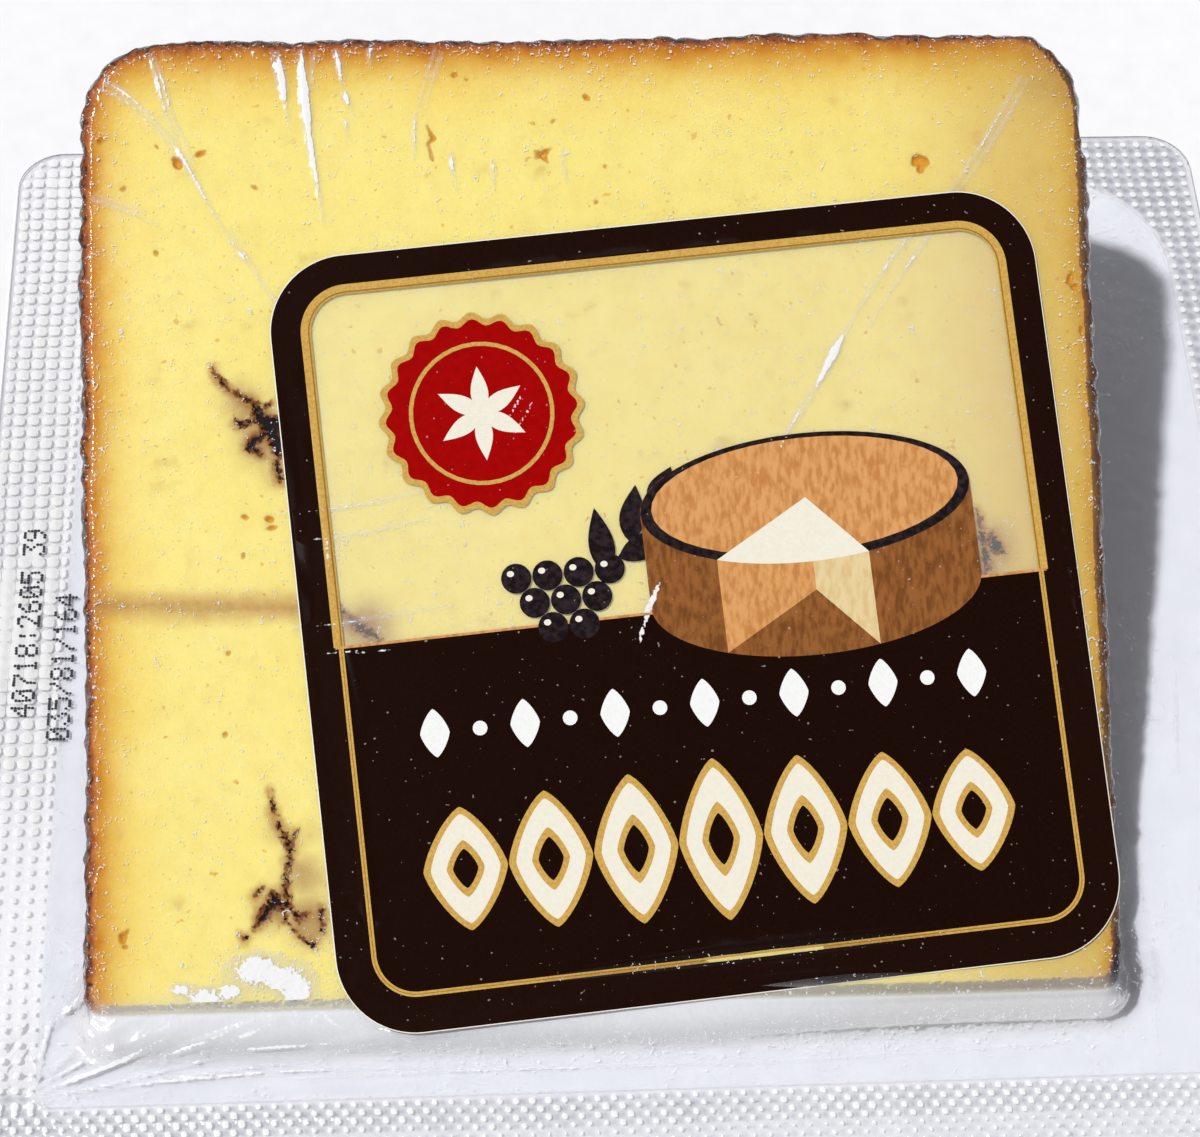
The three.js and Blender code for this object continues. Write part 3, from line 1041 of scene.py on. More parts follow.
        thick = form.thick(outline[:, 1])
        upper = index[: len(border)]
        for inward, depth in self.levels(thick):
            ring = outline - inward * outward
            moved = form.wandered(ring, depth, 1.0)
            marks = self.marks(ring, np.minimum(depth, thick - depth))
            lower = draft.add(form.place(moved[:, 0], moved[:, 1], 1 - depth / thick), **marks)
            draft.strip(upper, lower)
            upper = lower
        below = plan.inset(3).scatter(4.0, lambda points: np.zeros(len(points)))
        base = form.base + 0.05 * noise(below, 9, 5, 2)
        flat = np.concatenate([draft.points[-1][:, :2], below])
        inside = draft.add(np.column_stack([below, base]), **self.marks(below, np.full(len(below), 9.0)))
        draft.web(flat, np.concatenate([upper, inside]), [len(upper)], up=False)
        return draft.piece("cheese", [PressedPaste().material()], ("cheese_wedge",))

    def levels(self, thick: Array) -> list[tuple[float, Array]]:
        """How far in, and how deep, each ring of the wall lies.

        Args:
            thick: The wedge's thickness at each station.

        Returns:
            One pair for each ring, from the top down.
        """
        edge = self.form.edge_round
        turns = [share * math.pi / 2 for share in (0.2, 0.4, 0.6, 0.8, 1.0)]
        flat = np.zeros(len(thick))
        found = [(edge * (1 - math.sin(turn)), flat + edge * (1 - math.cos(turn))) for turn in turns]
        for step in range(1, self.wall_steps):
            found.append((0.0, edge + (thick - 2 * edge) * step / self.wall_steps))
        for turn in (math.pi / 2 * share for share in (1.0, 0.6, 0.3, 0.0)):
            found.append((edge * (1 - math.sin(turn)), thick - edge * (1 - math.cos(turn))))
        return found

    def pits(self, face: Array) -> Array:
        """Millimetres inside the nearest opening or tear."""
        openings = [opening.inside(face) for opening in self.openings]
        return np.max(openings + [from_line(face, tear) for tear in self.tears], axis=0)

    def vein(self, face: Array) -> Array:
        """Millimetres inside the nearest vein."""
        return np.max([from_line(face, line) for line in self.veins], axis=0)

    def detail(self, face: Array) -> Array:
        """How many times the face's points are halved in spacing."""
        inside, _ = self.form.from_rind(face)
        fine = (self.pits(face) > -0.35) | (self.vein(face) > -0.6)
        return np.where(fine, 2, np.where(inside < 3.2, 1, 0))

    def relief(self, face: Array) -> Array:
        """The cut face's small relief: curd, openings, veins and a blistered edge."""
        inside, _ = self.form.from_rind(face)
        near = np.exp(-np.maximum(inside - 1, 0) / 0.9)
        relief = 0.05 * noise(face, 7, 3, 3) + 0.02 * noise(face, 1.5, 7, 2)
        relief += near * (0.20 * noise(face, 1.7, 13, 3) - 0.04)
        relief -= self.dent_depth * smooth(self.pits(face), -0.05, 0.30)
        return relief - self.vein_depth * smooth(self.vein(face), -0.2, 0.3)

    def marks(self, face: Array, deep: Array | None = None) -> dict[str, Array]:
        """The numbers that colour the cheese.

        Args:
            face: Distances across and out.
            deep: Distance under either cut face, or nothing on the upper one.

        Returns:
            Named numbers for each place.
        """
        inside, _ = self.form.from_rind(face)
        gaps = np.column_stack([face[:, 0] + 49, 49 - face[:, 0], self.form.radius - face[:, 1]])
        weights = 1 / (np.maximum(gaps, 0) + 1) ** 4
        depth = inside * (weights @ self.reach) / weights.sum(axis=1)
        corner = np.linalg.norm(face - [48.5, 1.0], axis=1)
        depth = depth - 2.4 * np.exp(-((corner / 2.2) ** 2))
        # Tan towards the right: partly drier paste by the right rind, partly painted shade for light that
        # falls off from left to right.
        dry = 0.16 * smooth(face[:, 0], -30, 30) + 0.34 * smooth(face[:, 0], 26, 45)
        if deep is not None:
            rind = np.exp(-np.maximum(inside, 0) / 0.8)
            far = np.full(len(face), -9.0)
            none = np.zeros(len(face))
            depth = depth - np.clip(deep - self.form.edge_round, 0, 3) * rind
            wall = rind * smooth(deep, 0.3, 2.0)
            marks = {"rind": depth, "wall": wall, "pit": far, "vein": far}
            return {**marks, "stain": none, "seam": far, "dry": dry}
        stain = np.zeros(len(face))
        for across, up, reach, strength in self.stains:
            gap = np.linalg.norm(face - [across, up], axis=1) / reach
            stain = np.maximum(stain, strength * np.exp(-gap * gap))
        return {
            "rind": depth,
            "wall": np.zeros(len(face)),
            "pit": np.maximum(self.pits(face), -9),
            "vein": np.maximum(self.vein(face), -9),
            "stain": stain,
            "seam": np.maximum(from_line(face, self.seam), -9),
            "dry": dry,
        }


# ---- the film ----


@dataclass(frozen=True)
class Fold:
    """A raised fold of film, with a highlight painted white along its crest: its line, full width, and how
    broken it is.
    """

    line: Line
    wide: float = 0.5
    broken: float = 0.3

    def strip(self) -> Line:
        """The fold's middle on a smooth curve, with its half width there."""
        corners = np.array(self.line, float)
        lengths = np.concatenate([[0], np.cumsum(np.linalg.norm(np.diff(corners, axis=0), axis=1))])
        along = np.linspace(0, lengths[-1], max(4, round(lengths[-1] / 0.8)))
        points = np.column_stack([np.interp(along, lengths, corners[:, axis]) for axis in (0, 1)])
        for _ in range(2):
            points[1:-1] = (points[:-2] + 2 * points[1:-1] + points[2:]) / 4
        share = along / lengths[-1]
        taper = np.clip(np.minimum(share / 0.25, (1 - share) / 0.7), 0, 1)
        swell = 1 + 0.45 * noise(points, 2.5, 211, 2)
        half = self.wide / 2 * taper * swell - 0.02
        return tuple((x, y, wide) for x, y, wide in zip(*points.T, half))

    def inside(self, points: Array) -> Array:
        """Millimetres inside the fold's crest, where a highlight is painted white, less than 0 outside."""
        strip = np.array(self.strip())
        found = np.full(len(points), -9.0)
        low, high = strip[:, :2].min(0) - 1.5, strip[:, :2].max(0) + 1.5
        near = np.flatnonzero(np.all((points > low) & (points < high), axis=1))
        if len(near):
            places = points[near]
            bits = self.broken * self.wide * (0.45 * noise(places, 1.1, 223, 2) - 0.1)
            found[near] = from_line(places, tuple(map(tuple, strip))) + bits
        return found


@dataclass(frozen=True)
class Folds:
    """Every fold that shows, on the cheese and its label and on the flat film."""

    face: tuple[Fold, ...] = (
        # The long fold that runs down from the upper left corner, and those that join it.
        Fold(
            ((-47.8, 90.2), (-45.7, 89.3), (-44.0, 88.0), (-42.2, 86.3), (-40.6, 84.3), (-39.2, 82.0)),
            0.34,
            0.3,
        ),
        Fold(((-47.2, 89.0), (-45.2, 88.2), (-43.4, 86.7), (-41.6, 84.9), (-39.8, 82.4)), 0.26, 0.6),
        Fold(((-40.6, 84.6), (-38.9, 81.6), (-37.4, 78.8), (-36.0, 76.0), (-34.6, 73.9)), 0.5, 0.3),
        Fold(((-35.4, 75.2), (-33.2, 71.7), (-30.9, 68.3), (-29.0, 64.8)), 0.26, 2.2),
        Fold(((-34.6, 74.6), (-32.2, 70.6), (-29.9, 67.0)), 0.2, 2.4),
        Fold(((-42.3, 92.6), (-41.6, 90.6), (-41.0, 87.6), (-40.1, 85.0), (-39.3, 82.6)), 0.36, 0.1),
        Fold(((-41.7, 92.0), (-40.8, 89.4), (-40.2, 86.6), (-39.4, 84.4)), 0.3, 0.1),
        Fold(((-41.0, 89.0), (-40.4, 87.0), (-39.0, 84.0), (-38.0, 81.4)), 0.22, 1.4),
        # Two broad folds beside each other near the rim, and shorter ones to their right.
        Fold(((-29.8, 93.0), (-29.6, 90.6), (-29.2, 88.2), (-28.7, 84.6)), 0.95, 0.5),
        Fold(((-30.2, 92.6), (-30.1, 90.2), (-29.8, 88.6)), 0.35, 0.8),
        Fold(((-27.5, 93.2), (-27.3, 88.7), (-26.8, 83.6), (-26.0, 78.4), (-25.6, 75.0)), 1.1, 0.25),
        Fold(((-26.1, 92.6), (-26.4, 90.6), (-26.5, 88.6)), 0.35, 0.8),
        Fold(((-24.2, 92.8), (-23.8, 90.6), (-23.4, 88.4)), 0.75, 0.5),
        Fold(((-23.5, 88.8), (-23.2, 87.2), (-22.5, 85.9)), 0.6, 0.5),
        Fold(((-23.4, 85.6), (-23.2, 84.9), (-23.1, 84.0)), 0.4, 0.2),
        Fold(((-20.6, 93.4), (-20.9, 92.2), (-20.8, 90.6)), 0.7, 0.5),
        Fold(((-14.4, 92.4), (-15.4, 89.4), (-16.0, 87.4), (-16.6, 84.9)), 0.24, 1.2),
        Fold(((-13.8, 92.0), (-14.8, 89.1), (-15.5, 86.6)), 0.2, 1.6),
        Fold(((-16.5, 86.0), (-16.7, 84.6), (-16.6, 83.2), (-16.8, 81.4)), 0.6, 0.5),
        Fold(((-13.1, 82.2), (-13.2, 80.9), (-12.9, 79.8), (-12.6, 78.0)), 0.65, 0.9),
        Fold(((-9.0, 81.2), (-9.2, 80.0), (-9.0, 78.2)), 0.75, 1.0),
        Fold(((-2.3, 82.3), (-2.4, 80.9), (-1.9, 79.0)), 0.4, 1.2),
        Fold(((-48.6, 78.3), (-46.8, 77.6), (-44.8, 76.9), (-41.4, 75.2)), 0.3, 0.9),
        Fold(((-47.6, 78.4), (-45.2, 77.4), (-42.6, 76.6)), 0.22, 1.6),
        # Where the film turns over the left edge: a line of painted highlight along the rind.
        Fold(((-48.6, 90.5), (-48.5, 84.0), (-48.8, 77.0), (-48.4, 70.0)), 0.3, 2.0),
        Fold(((-48.7, 52.0), (-48.4, 58.0), (-48.6, 65.0), (-48.4, 71.0)), 0.3, 2.0),
        Fold(((-48.4, 22.0), (-48.6, 30.0), (-48.5, 44.0)), 0.25, 2.4),
        # The double fold from the upper right corner, which runs on over the label.
        Fold(((43.0, 88.6), (41.0, 85.4), (39.2, 82.4), (36.1, 78.0), (33.0, 74.4)), 0.3, 0.5),
        Fold(((43.7, 88.4), (41.8, 85.2), (40.0, 82.3), (37.2, 78.3), (34.6, 75.2)), 0.24, 0.9),
        Fold(((33.4, 75.2), (31.0, 72.6), (28.4, 69.2), (26.2, 66.0), (24.2, 62.8)), 0.36, 0.7),
        Fold(((34.4, 74.4), (31.8, 71.0), (29.4, 67.6), (27.0, 64.0)), 0.26, 1.0),
        Fold(((25.6, 65.0), (23.6, 61.8), (21.9, 58.6), (20.2, 55.6), (18.6, 53.6)), 0.9, 0.5),
        Fold(((21.4, 58.4), (19.4, 55.0), (17.6, 51.6), (16.4, 48.6)), 0.36, 0.6),
        Fold(((-6.0, 59.4), (-8.2, 55.6), (-10.0, 52.2)), 0.34, 0.5),
        Fold(((-4.9, 58.8), (-7.1, 55.0), (-9.2, 51.4)), 0.3, 0.5),
        Fold(((6.6, 40.8), (5.2, 38.0), (4.2, 35.4), (3.6, 32.6), (3.2, 30.4)), 0.8, 0.8),
        Fold(((-30.4, 46.9), (-25.1, 47.3), (-20.6, 47.9), (-12.0, 49.8)), 0.3, 0.6),
        Fold(((-30.2, 44.3), (-26.1, 44.4), (-22.6, 44.8), (-15.9, 46.1)), 0.3, 0.9),
        Fold(((-29.0, 35.9), (-25.6, 36.1), (-21.0, 36.8), (-14.0, 37.7)), 0.26, 0.9),
        Fold(((-27.4, 33.4), (-22.0, 33.5), (-14.4, 34.3)), 0.4, 0.8),
    )
    ground: tuple[Fold, ...] = (
        # Long folds of the slack film in front of the thin edge, spreading from the left corner.
        Fold(((-54.0, -6.2), (-52.8, 0.0), (-51.5, 6.6), (-50.6, 11.0)), 0.5, 0.5),
        Fold(((-54.0, -6.6), (-50.8, -5.6), (-45.0, -3.4), (-38.4, -0.4)), 0.7, 0.3),
        Fold(((-53.6, -6.0), (-49.6, -3.6), (-45.4, -1.2), (-42.6, 0.6)), 0.5, 0.4),
        Fold(((-52.8, -5.0), (-49.8, -1.8), (-47.6, 0.6)), 0.4, 0.4),
        Fold(((-53.4, -6.9), (-47.3, -6.0), (-40.6, -4.4), (-34.0, -2.8), (-30.6, -1.6)), 0.4, 0.5),
        Fold(((-50.0, -6.6), (-42.0, -5.8), (-34.0, -5.2), (-24.0, -5.0), (-14.0, -5.2)), 0.5, 0.3),
        Fold(((-47.0, -6.2), (-39.0, -5.2), (-31.5, -4.4), (-25.0, -4.1), (-18.0, -4.2)), 0.36, 0.6),
        Fold(((-44.0, -4.0), (-38.0, -2.4), (-33.0, -0.4), (-31.4, 0.8)), 0.4, 0.5),
        Fold(((-38.0, -3.2), (-31.5, -2.9), (-25.0, -2.6), (-20.0, -2.2)), 0.44, 0.5),
        Fold(((-36.0, -2.4), (-32.0, -1.2), (-29.6, 0.4)), 0.5, 0.5),
        Fold(((-30.0, 0.8), (-28.9, -1.0), (-29.2, -2.2)), 0.5, 0.5),
        Fold(((-28.6, -1.6), (-27.2, 0.2), (-25.8, 0.6)), 0.5, 0.5),
        Fold(((-27.4, 0.6), (-26.4, -1.0), (-23.8, -1.8)), 0.5, 0.5),
        Fold(((-22.6, 0.2), (-21.4, -1.4), (-18.0, -2.4)), 0.5, 0.5),
        # The line where the upper web touches the lower one.
        Fold(
            ((-30.0, -5.8), (-12.0, -5.5), (16.0, -5.5), (30.0, -5.0), (43.2, -4.5), (49.2, -1.3)),
            0.30,
            0.8,
        ),
        Fold(((43.2, -4.5), (49.2, -1.3), (51.2, 3.9), (52.3, 9.0), (53.0, 16.0)), 0.39, 0.6),
        Fold(((53.0, 5.0), (53.2, 1.2), (52.1, -0.9), (51.6, -2.9), (51.9, -6.0)), 0.26, 1.3),
        Fold(((59.6, 36.0), (59.0, 31.0), (58.1, 24.0)), 0.33, 0.9),
        Fold(((-52.0, 46.0), (-51.4, 30.0), (-51.8, 12.0), (-53.0, -2.0)), 0.45, 0.6),
        # Pleats that leave the corners of the wedge.
        Fold(((49.2, 93.8), (53.6, 96.0), (58.0, 98.6)), 0.5, 0.6),
        Fold(((51.6, 90.8), (56.4, 92.8), (61.5, 94.2)), 0.5, 0.6),
        Fold(((47.0, 95.6), (49.6, 98.4), (52.0, 101.0)), 0.66, 0.6),
        Fold(((-48.8, 94.0), (-50.6, 96.6), (-52.0, 99.4)), 0.72, 0.6),
        Fold(((-46.4, 96.0), (-47.6, 98.6), (-48.6, 101.0)), 0.66, 0.6),
    )

    def laid(self, points: Array, folds: tuple[Fold, ...]) -> tuple[Array, Array]:
        """Measures a group of folds at once.

        Args:
            points: Places, two numbers each.
            folds: The folds.

        Returns:
            Millimetres inside the nearest crest with a painted white highlight, and how high the folds lift
            the film.
        """
        nearest, height = np.full(len(points), -9.0), np.zeros(len(points))
        for fold in folds:
            inside = fold.inside(points)
            nearest = np.maximum(nearest, inside)
            height = np.maximum(height, 0.10 * fold.wide * smooth(inside, -0.5 * fold.wide, 0.5 * fold.wide))
        return nearest, height


FOLDS = Folds()


@dataclass
class PackFilm:
    """The upper web: drawn tight over the wedge, down to a fillet, and out to the seal."""

    form: WedgeForm = WEDGE
    pack: PackForm = PACK
    face_pitch: float = 0.7
    wall_pitch: float = 0.44
    # How much of the rind's wander the film follows.
    follows: float = 0.85
    # Milkiness along the thin edge, and how far it reaches up the face.
    edge_milk: float = 0.42
    edge_milk_reach: float = 1.3
    off_face: float = 0.17
    off_rind: float = 0.16
    wall_steps: int = 32
    fillet_steps: int = 11
    # The ring at which the film leaves the thin edge.
    leaves: int = 2
    # Loose film near the thin edge, where a patch of glare is painted white: middle, half width and half
    # height.
    loose: Line = (
        (-33.0, 3.8, 2.3, 1.3),
        (-30.8, 3.0, 1.6, 1.2),
        (-29.3, 2.0, 1.5, 1.8),
        (-37.7, 1.2, 1.9, 1.0),
        (-35.6, 1.9, 1.2, 0.7),
        (-40.1, 2.2, 0.8, 0.6),
    )
    crinkled: Line = ((-31.0, 3.0, 11.0, 4.6), (-25.0, 6.0, 6.0, 6.0))

    def liveliness(self, face: Array) -> Array:
        """How much the film puckers and how many white specks it holds: most at the rind and at the loose
        thin edge.
        """
        inside, _ = self.form.from_rind(face)
        near = 0.8 * np.exp(-np.maximum(inside - 0.6, 0) / 1.3)
        loose = 0.6 * smooth(blobs(face, self.crinkled), 0.0, 0.5)
        tip = 0.4 * np.exp(-np.maximum(face[:, 1], 0) / 1.6)
        haze = 0.2 * np.exp(-np.maximum(inside, 0) / 6)
        return np.clip(near + loose + tip + haze, 0, 1)

    def crinkle(self, points: Array, lively: Array) -> Array:
        """The film's small relief on the cheese."""
        return 0.03 * noise(points, 6.0, 47, 2) + noise(points, 1.6, 41, 3) * (0.004 + 0.09 * lively)

    def over(self, face: Array) -> Array:
        """How far off the cut face the film lies."""
        inside, _ = self.form.from_rind(face)
        off = self.off_face + 0.06 * np.exp(-np.maximum(inside - 1, 0) / 1.5)
        return off + self.crinkle(face, self.liveliness(face)) + FOLDS.laid(face, FOLDS.face)[1]

    def streaks(self, face: Array) -> Array:
        """Millimetres inside the nearest painted highlight on the face, along a fold's crest or in a glare
        patch near the thin edge, less than 0 outside.
        """
        glare = 0.26 * np.clip(blobs(face, self.loose), -0.5, 0.7) + 0.02 + 0.09 * noise(face, 1.2, 131, 3)
        patch = np.where(blobs(face, self.loose) > -0.6, glare, -9)
        return np.maximum(FOLDS.laid(face, FOLDS.face)[0], patch)

    def detail(self, face: Array) -> Array:
        """How many times the face's points are halved in spacing."""
        inside, _ = self.form.from_rind(face)
        fine = self.streaks(face) > -0.45
        coarse = (inside < 4.5) | (blobs(face, self.crinkled) > 0)
        return np.where(fine, 2, np.where(coarse, 1, 0))

    def ground(self, plan: Array) -> Array:
        """The flat film's height at places on the ground.

        Args:
            plan: Places, two numbers each.

        Returns:
            Heights over the ground.
        """
        wave = 0.09 * noise(plan, 9, 61, 2) + 0.025 * noise(plan, 2.2, 67, 2)
        rim = 0.07 * np.exp(-((self.pack.seal().depth(plan) / 0.3) ** 2))
        return self.pack.flat + wave + self.slack(plan) + rim + 2 * FOLDS.laid(plan, FOLDS.ground)[1]

    def peeled(self, plan: Array) -> Array:
        """Where the film in front of the thin edge is textured like peel, from 0 to 1."""
        front = smooth(-plan[:, 1], 0.0, 0.8) * smooth(plan[:, 1], -5.5, -4.9)
        return front * smooth(plan[:, 0], -30, -10) * smooth(-plan[:, 0], -49, -45)

    def slack(self, plan: Array) -> Array:
        """The relief of the slack film in front: wrinkles fanning from the left corner, and peel."""
        away = plan - [-62.0, -9.5]
        reach = np.linalg.norm(away, axis=1)
        fan = np.column_stack([25 * np.arctan2(away[:, 1], away[:, 0]), 0.10 * reach])
        ridges = 0.5 - np.abs(noise(fan, 1.5, 163, 2))
        near = smooth(2.5 - plan[:, 1], 0, 3) * smooth(plan[:, 1], -7.9, -6.9)
        near = near * (1 - smooth(plan[:, 0], -26, 6))
        return 0.7 * near * ridges + 0.10 * self.peeled(plan) * noise(plan * [1, 0.6], 0.8, 71, 2)

    def front(self, outline: Array) -> Array:
        """How strongly the film bridges from the thin edge out to the ground, 1 at the front left."""
        return np.exp(-np.maximum(outline[:, 1], 0) / 1.2) * (1 - 0.3 * smooth(outline[:, 0], 2, 34))

    def build(self) -> list[bpy.types.Object]:
        """Makes the cover over the cheese and the skirt round it.

        Returns:
            Both pieces.
        """
        form = self.form
        draft = Draft()
        plan = form.plan()
        stations = plan.stations(self.wall_pitch)
        outline, outward = plan.at(stations)
        border = outline - form.edge_round * outward
        inner = plan.inset(form.edge_round).scatter(self.face_pitch, self.detail)
        face = np.concatenate([border, inner])
        lively = self.liveliness(face)
        moved = form.wandered(face, np.zeros(len(face)), self.follows)
        milk = self.edge_milk * np.exp(-np.maximum(face[:, 1], 0) / self.edge_milk_reach)
        milk = milk * (1 + 0.4 * noise(face, 2.5, 139, 2))
        streak = self.streaks(face)
        covered = form.on_face(moved, self.over(face))
        index = draft.add(covered, lively=lively, milk=milk, streak=streak, grey=0.0)
        draft.web(face, index, [len(border)])

        thick = form.thick(outline[:, 1])
        upper = index[: len(border)]
        front = self.front(outline)
        rings = []
        for inward, depth in self.levels(thick, outline[:, 1]):
            ring = outline - inward * outward
            moved = form.wandered(ring, depth, self.follows)
            pucker = self.crinkle(np.column_stack([ring, depth]), np.full(len(ring), 0.5))
            moved += pucker[:, None] * outward
            rings.append(form.place(moved[:, 0], moved[:, 1], 1 - depth / thick))
        rings += self.fillet(rings[-1], outline, outward)
        top = rings[self.leaves]
        for step, ring in enumerate(rings):
            # Along the thin edge the film does not follow the wall but spans from its top to the ground.
            share = max(0.0, (step - self.leaves) / (len(rings) - 1 - self.leaves))
            bridge = top + (rings[-1] - top) * share if share else ring
            sag = math.sin(share * math.pi) * (self.slack(bridge[:, :2]) - 0.15)
            lifted = FOLDS.laid(bridge[:, :2], FOLDS.ground)
            bridge = bridge + np.outer(sag + 1.5 * min(4 * share, 1) * (1 - share) * lifted[1], [0, 0, 1])
            ring = ring + (bridge - ring) * front[:, None]
            milk = front * (0.45 + 0.45 * smooth(np.array(share), 0, 0.1)) * (1 - 0.8 * share**2)
            streak = lifted[0] if step > self.wall_steps else np.where(front > 0.4, lifted[0], -9)
            rough = 0.5 - 0.3 * share + 0.5 * share * self.peeled(ring[:, :2])
            lower = draft.add(ring, lively=rough, milk=milk, streak=streak, grey=share**2 * (1 - 0.6 * front))
            draft.strip(upper, lower)
            upper = lower
        clear = ClearFilm(
            "cast_film_drawn_tight",
            milk=("milk", 0.0, 1.0, 1.0),
            milky="#EEEFF3",
            haze=0.004,
            lively="lively",
            streak="streak",
            grey=("grey", "#F1F2F5"),
        )
        cover = draft.piece("film_cover", [clear.material()], ("film_pouch",))
        return [cover, self.skirt(stations)]

    def levels(self, thick: Array, out: Array) -> list[tuple[float, Array]]:
        """How far in, and how deep, each ring of the wall lies.

        Args:
            thick: The wedge's thickness at each station.
            out: Distance of each station from the wheel's axis.

        Returns:
            One pair for each ring, from the top down to the fillet.
        """
        grow = self.off_rind
        radius = self.form.edge_round + grow
        climb = smooth(out, 0, self.form.radius / 3)
        leave = self.pack.collar_low + (self.pack.collar_tall - self.pack.collar_low) * climb
        leave = np.minimum(leave, thick - 0.3)
        found = []
        for share in (0.15, 0.3, 0.45, 0.6, 0.8, 1.0):
            turn = share * math.pi / 2
            depth = radius * (1 - math.cos(turn)) - grow * 0.4
            found.append((radius * (1 - math.sin(turn)) - grow, np.full(len(thick), depth)))
        last = found[-1][1]
        for step in range(1, self.wall_steps + 1):
            found.append((-grow, last + (thick - leave - last) * step / self.wall_steps))
        return found

    def fillet(self, foot: Array, outline: Array, outward: Array) -> list[Array]:
        """Rings that swing the film from the wall out to the ground.

        Args:
            foot: The wall's lowest ring.
            outline: The wedge's footprint at the same stations.
            outward: The direction straight out of it.

        Returns:
            The rings, the last one on the ground.
        """
        landing = outline + self.pack.collar_reach * outward
        end = np.column_stack([landing, self.ground(landing)])
        bend = np.column_stack([outline + 0.55 * outward, np.full(len(outline), self.pack.flat)])
        rings = []
        for step in range(1, self.fillet_steps + 1):
            share = step / self.fillet_steps
            ring = (1 - share) ** 2 * foot + 2 * share * (1 - share) * bend + share**2 * end
            slack = 0.14 * math.sin(share * math.pi) * noise(ring[:, :2], 2.4, 59, 3)
            folds = 1.5 * (share - share**2) * FOLDS.laid(ring[:, :2], FOLDS.ground)[1]
            ring[:, 2] += slack + folds
            rings.append(ring)
        return rings

    def skirt(self, stations: Array) -> bpy.types.Object:
        """The flat film from the fillet's end to the seal.

        Args:
            stations: The fillet's stations.

        Returns:
            The skirt.
        """
        landing, seal = self.pack.landing(), self.pack.seal()
        outer, _ = seal.at(seal.stations(self.pack.seal_pitch))
        inner, _ = landing.at(stations)

        def detail(plan: Array) -> Array:
            """How many times the flat film's points are halved in spacing."""
            fine = FOLDS.laid(plan, FOLDS.ground)[0] > -0.5
            return np.where(fine | (seal.depth(plan) < 1.0), 1, 0)

        spread = seal.scatter(0.45, detail)
        spread = spread[landing.depth(spread) < -0.2]
        flat = np.concatenate([outer, inner, spread])
        # Where the flat film is wrinkled to the right of the wedge it puckers and holds more white specks,
        # which are painted glints.
        lively = 0.10 + 0.5 * smooth(blobs(flat, ((57.5, 29.0, 3.4, 7.5), (57.0, 42.0, 3.0, 8.0))), 0.0, 0.6)
        lively += 0.25 * np.exp(-((seal.depth(flat) / 0.8) ** 2)) + 0.6 * self.peeled(flat)
        draft = Draft()
        streak = FOLDS.laid(flat, FOLDS.ground)[0]
        index = draft.add(np.column_stack([flat, self.ground(flat)]), lively=lively, streak=streak)
        draft.web(flat, index, [len(outer), len(inner)], hole=landing)
        finish = ClearFilm(
            "cast_film_lying_flat",
            tint="#F4F5F8",
            haze=0.05,
            ripple=0.16,
            pitch=2.2,
            lively="lively",
            streak="streak",
        )
        return draft.piece("film_skirt", [finish.material()])


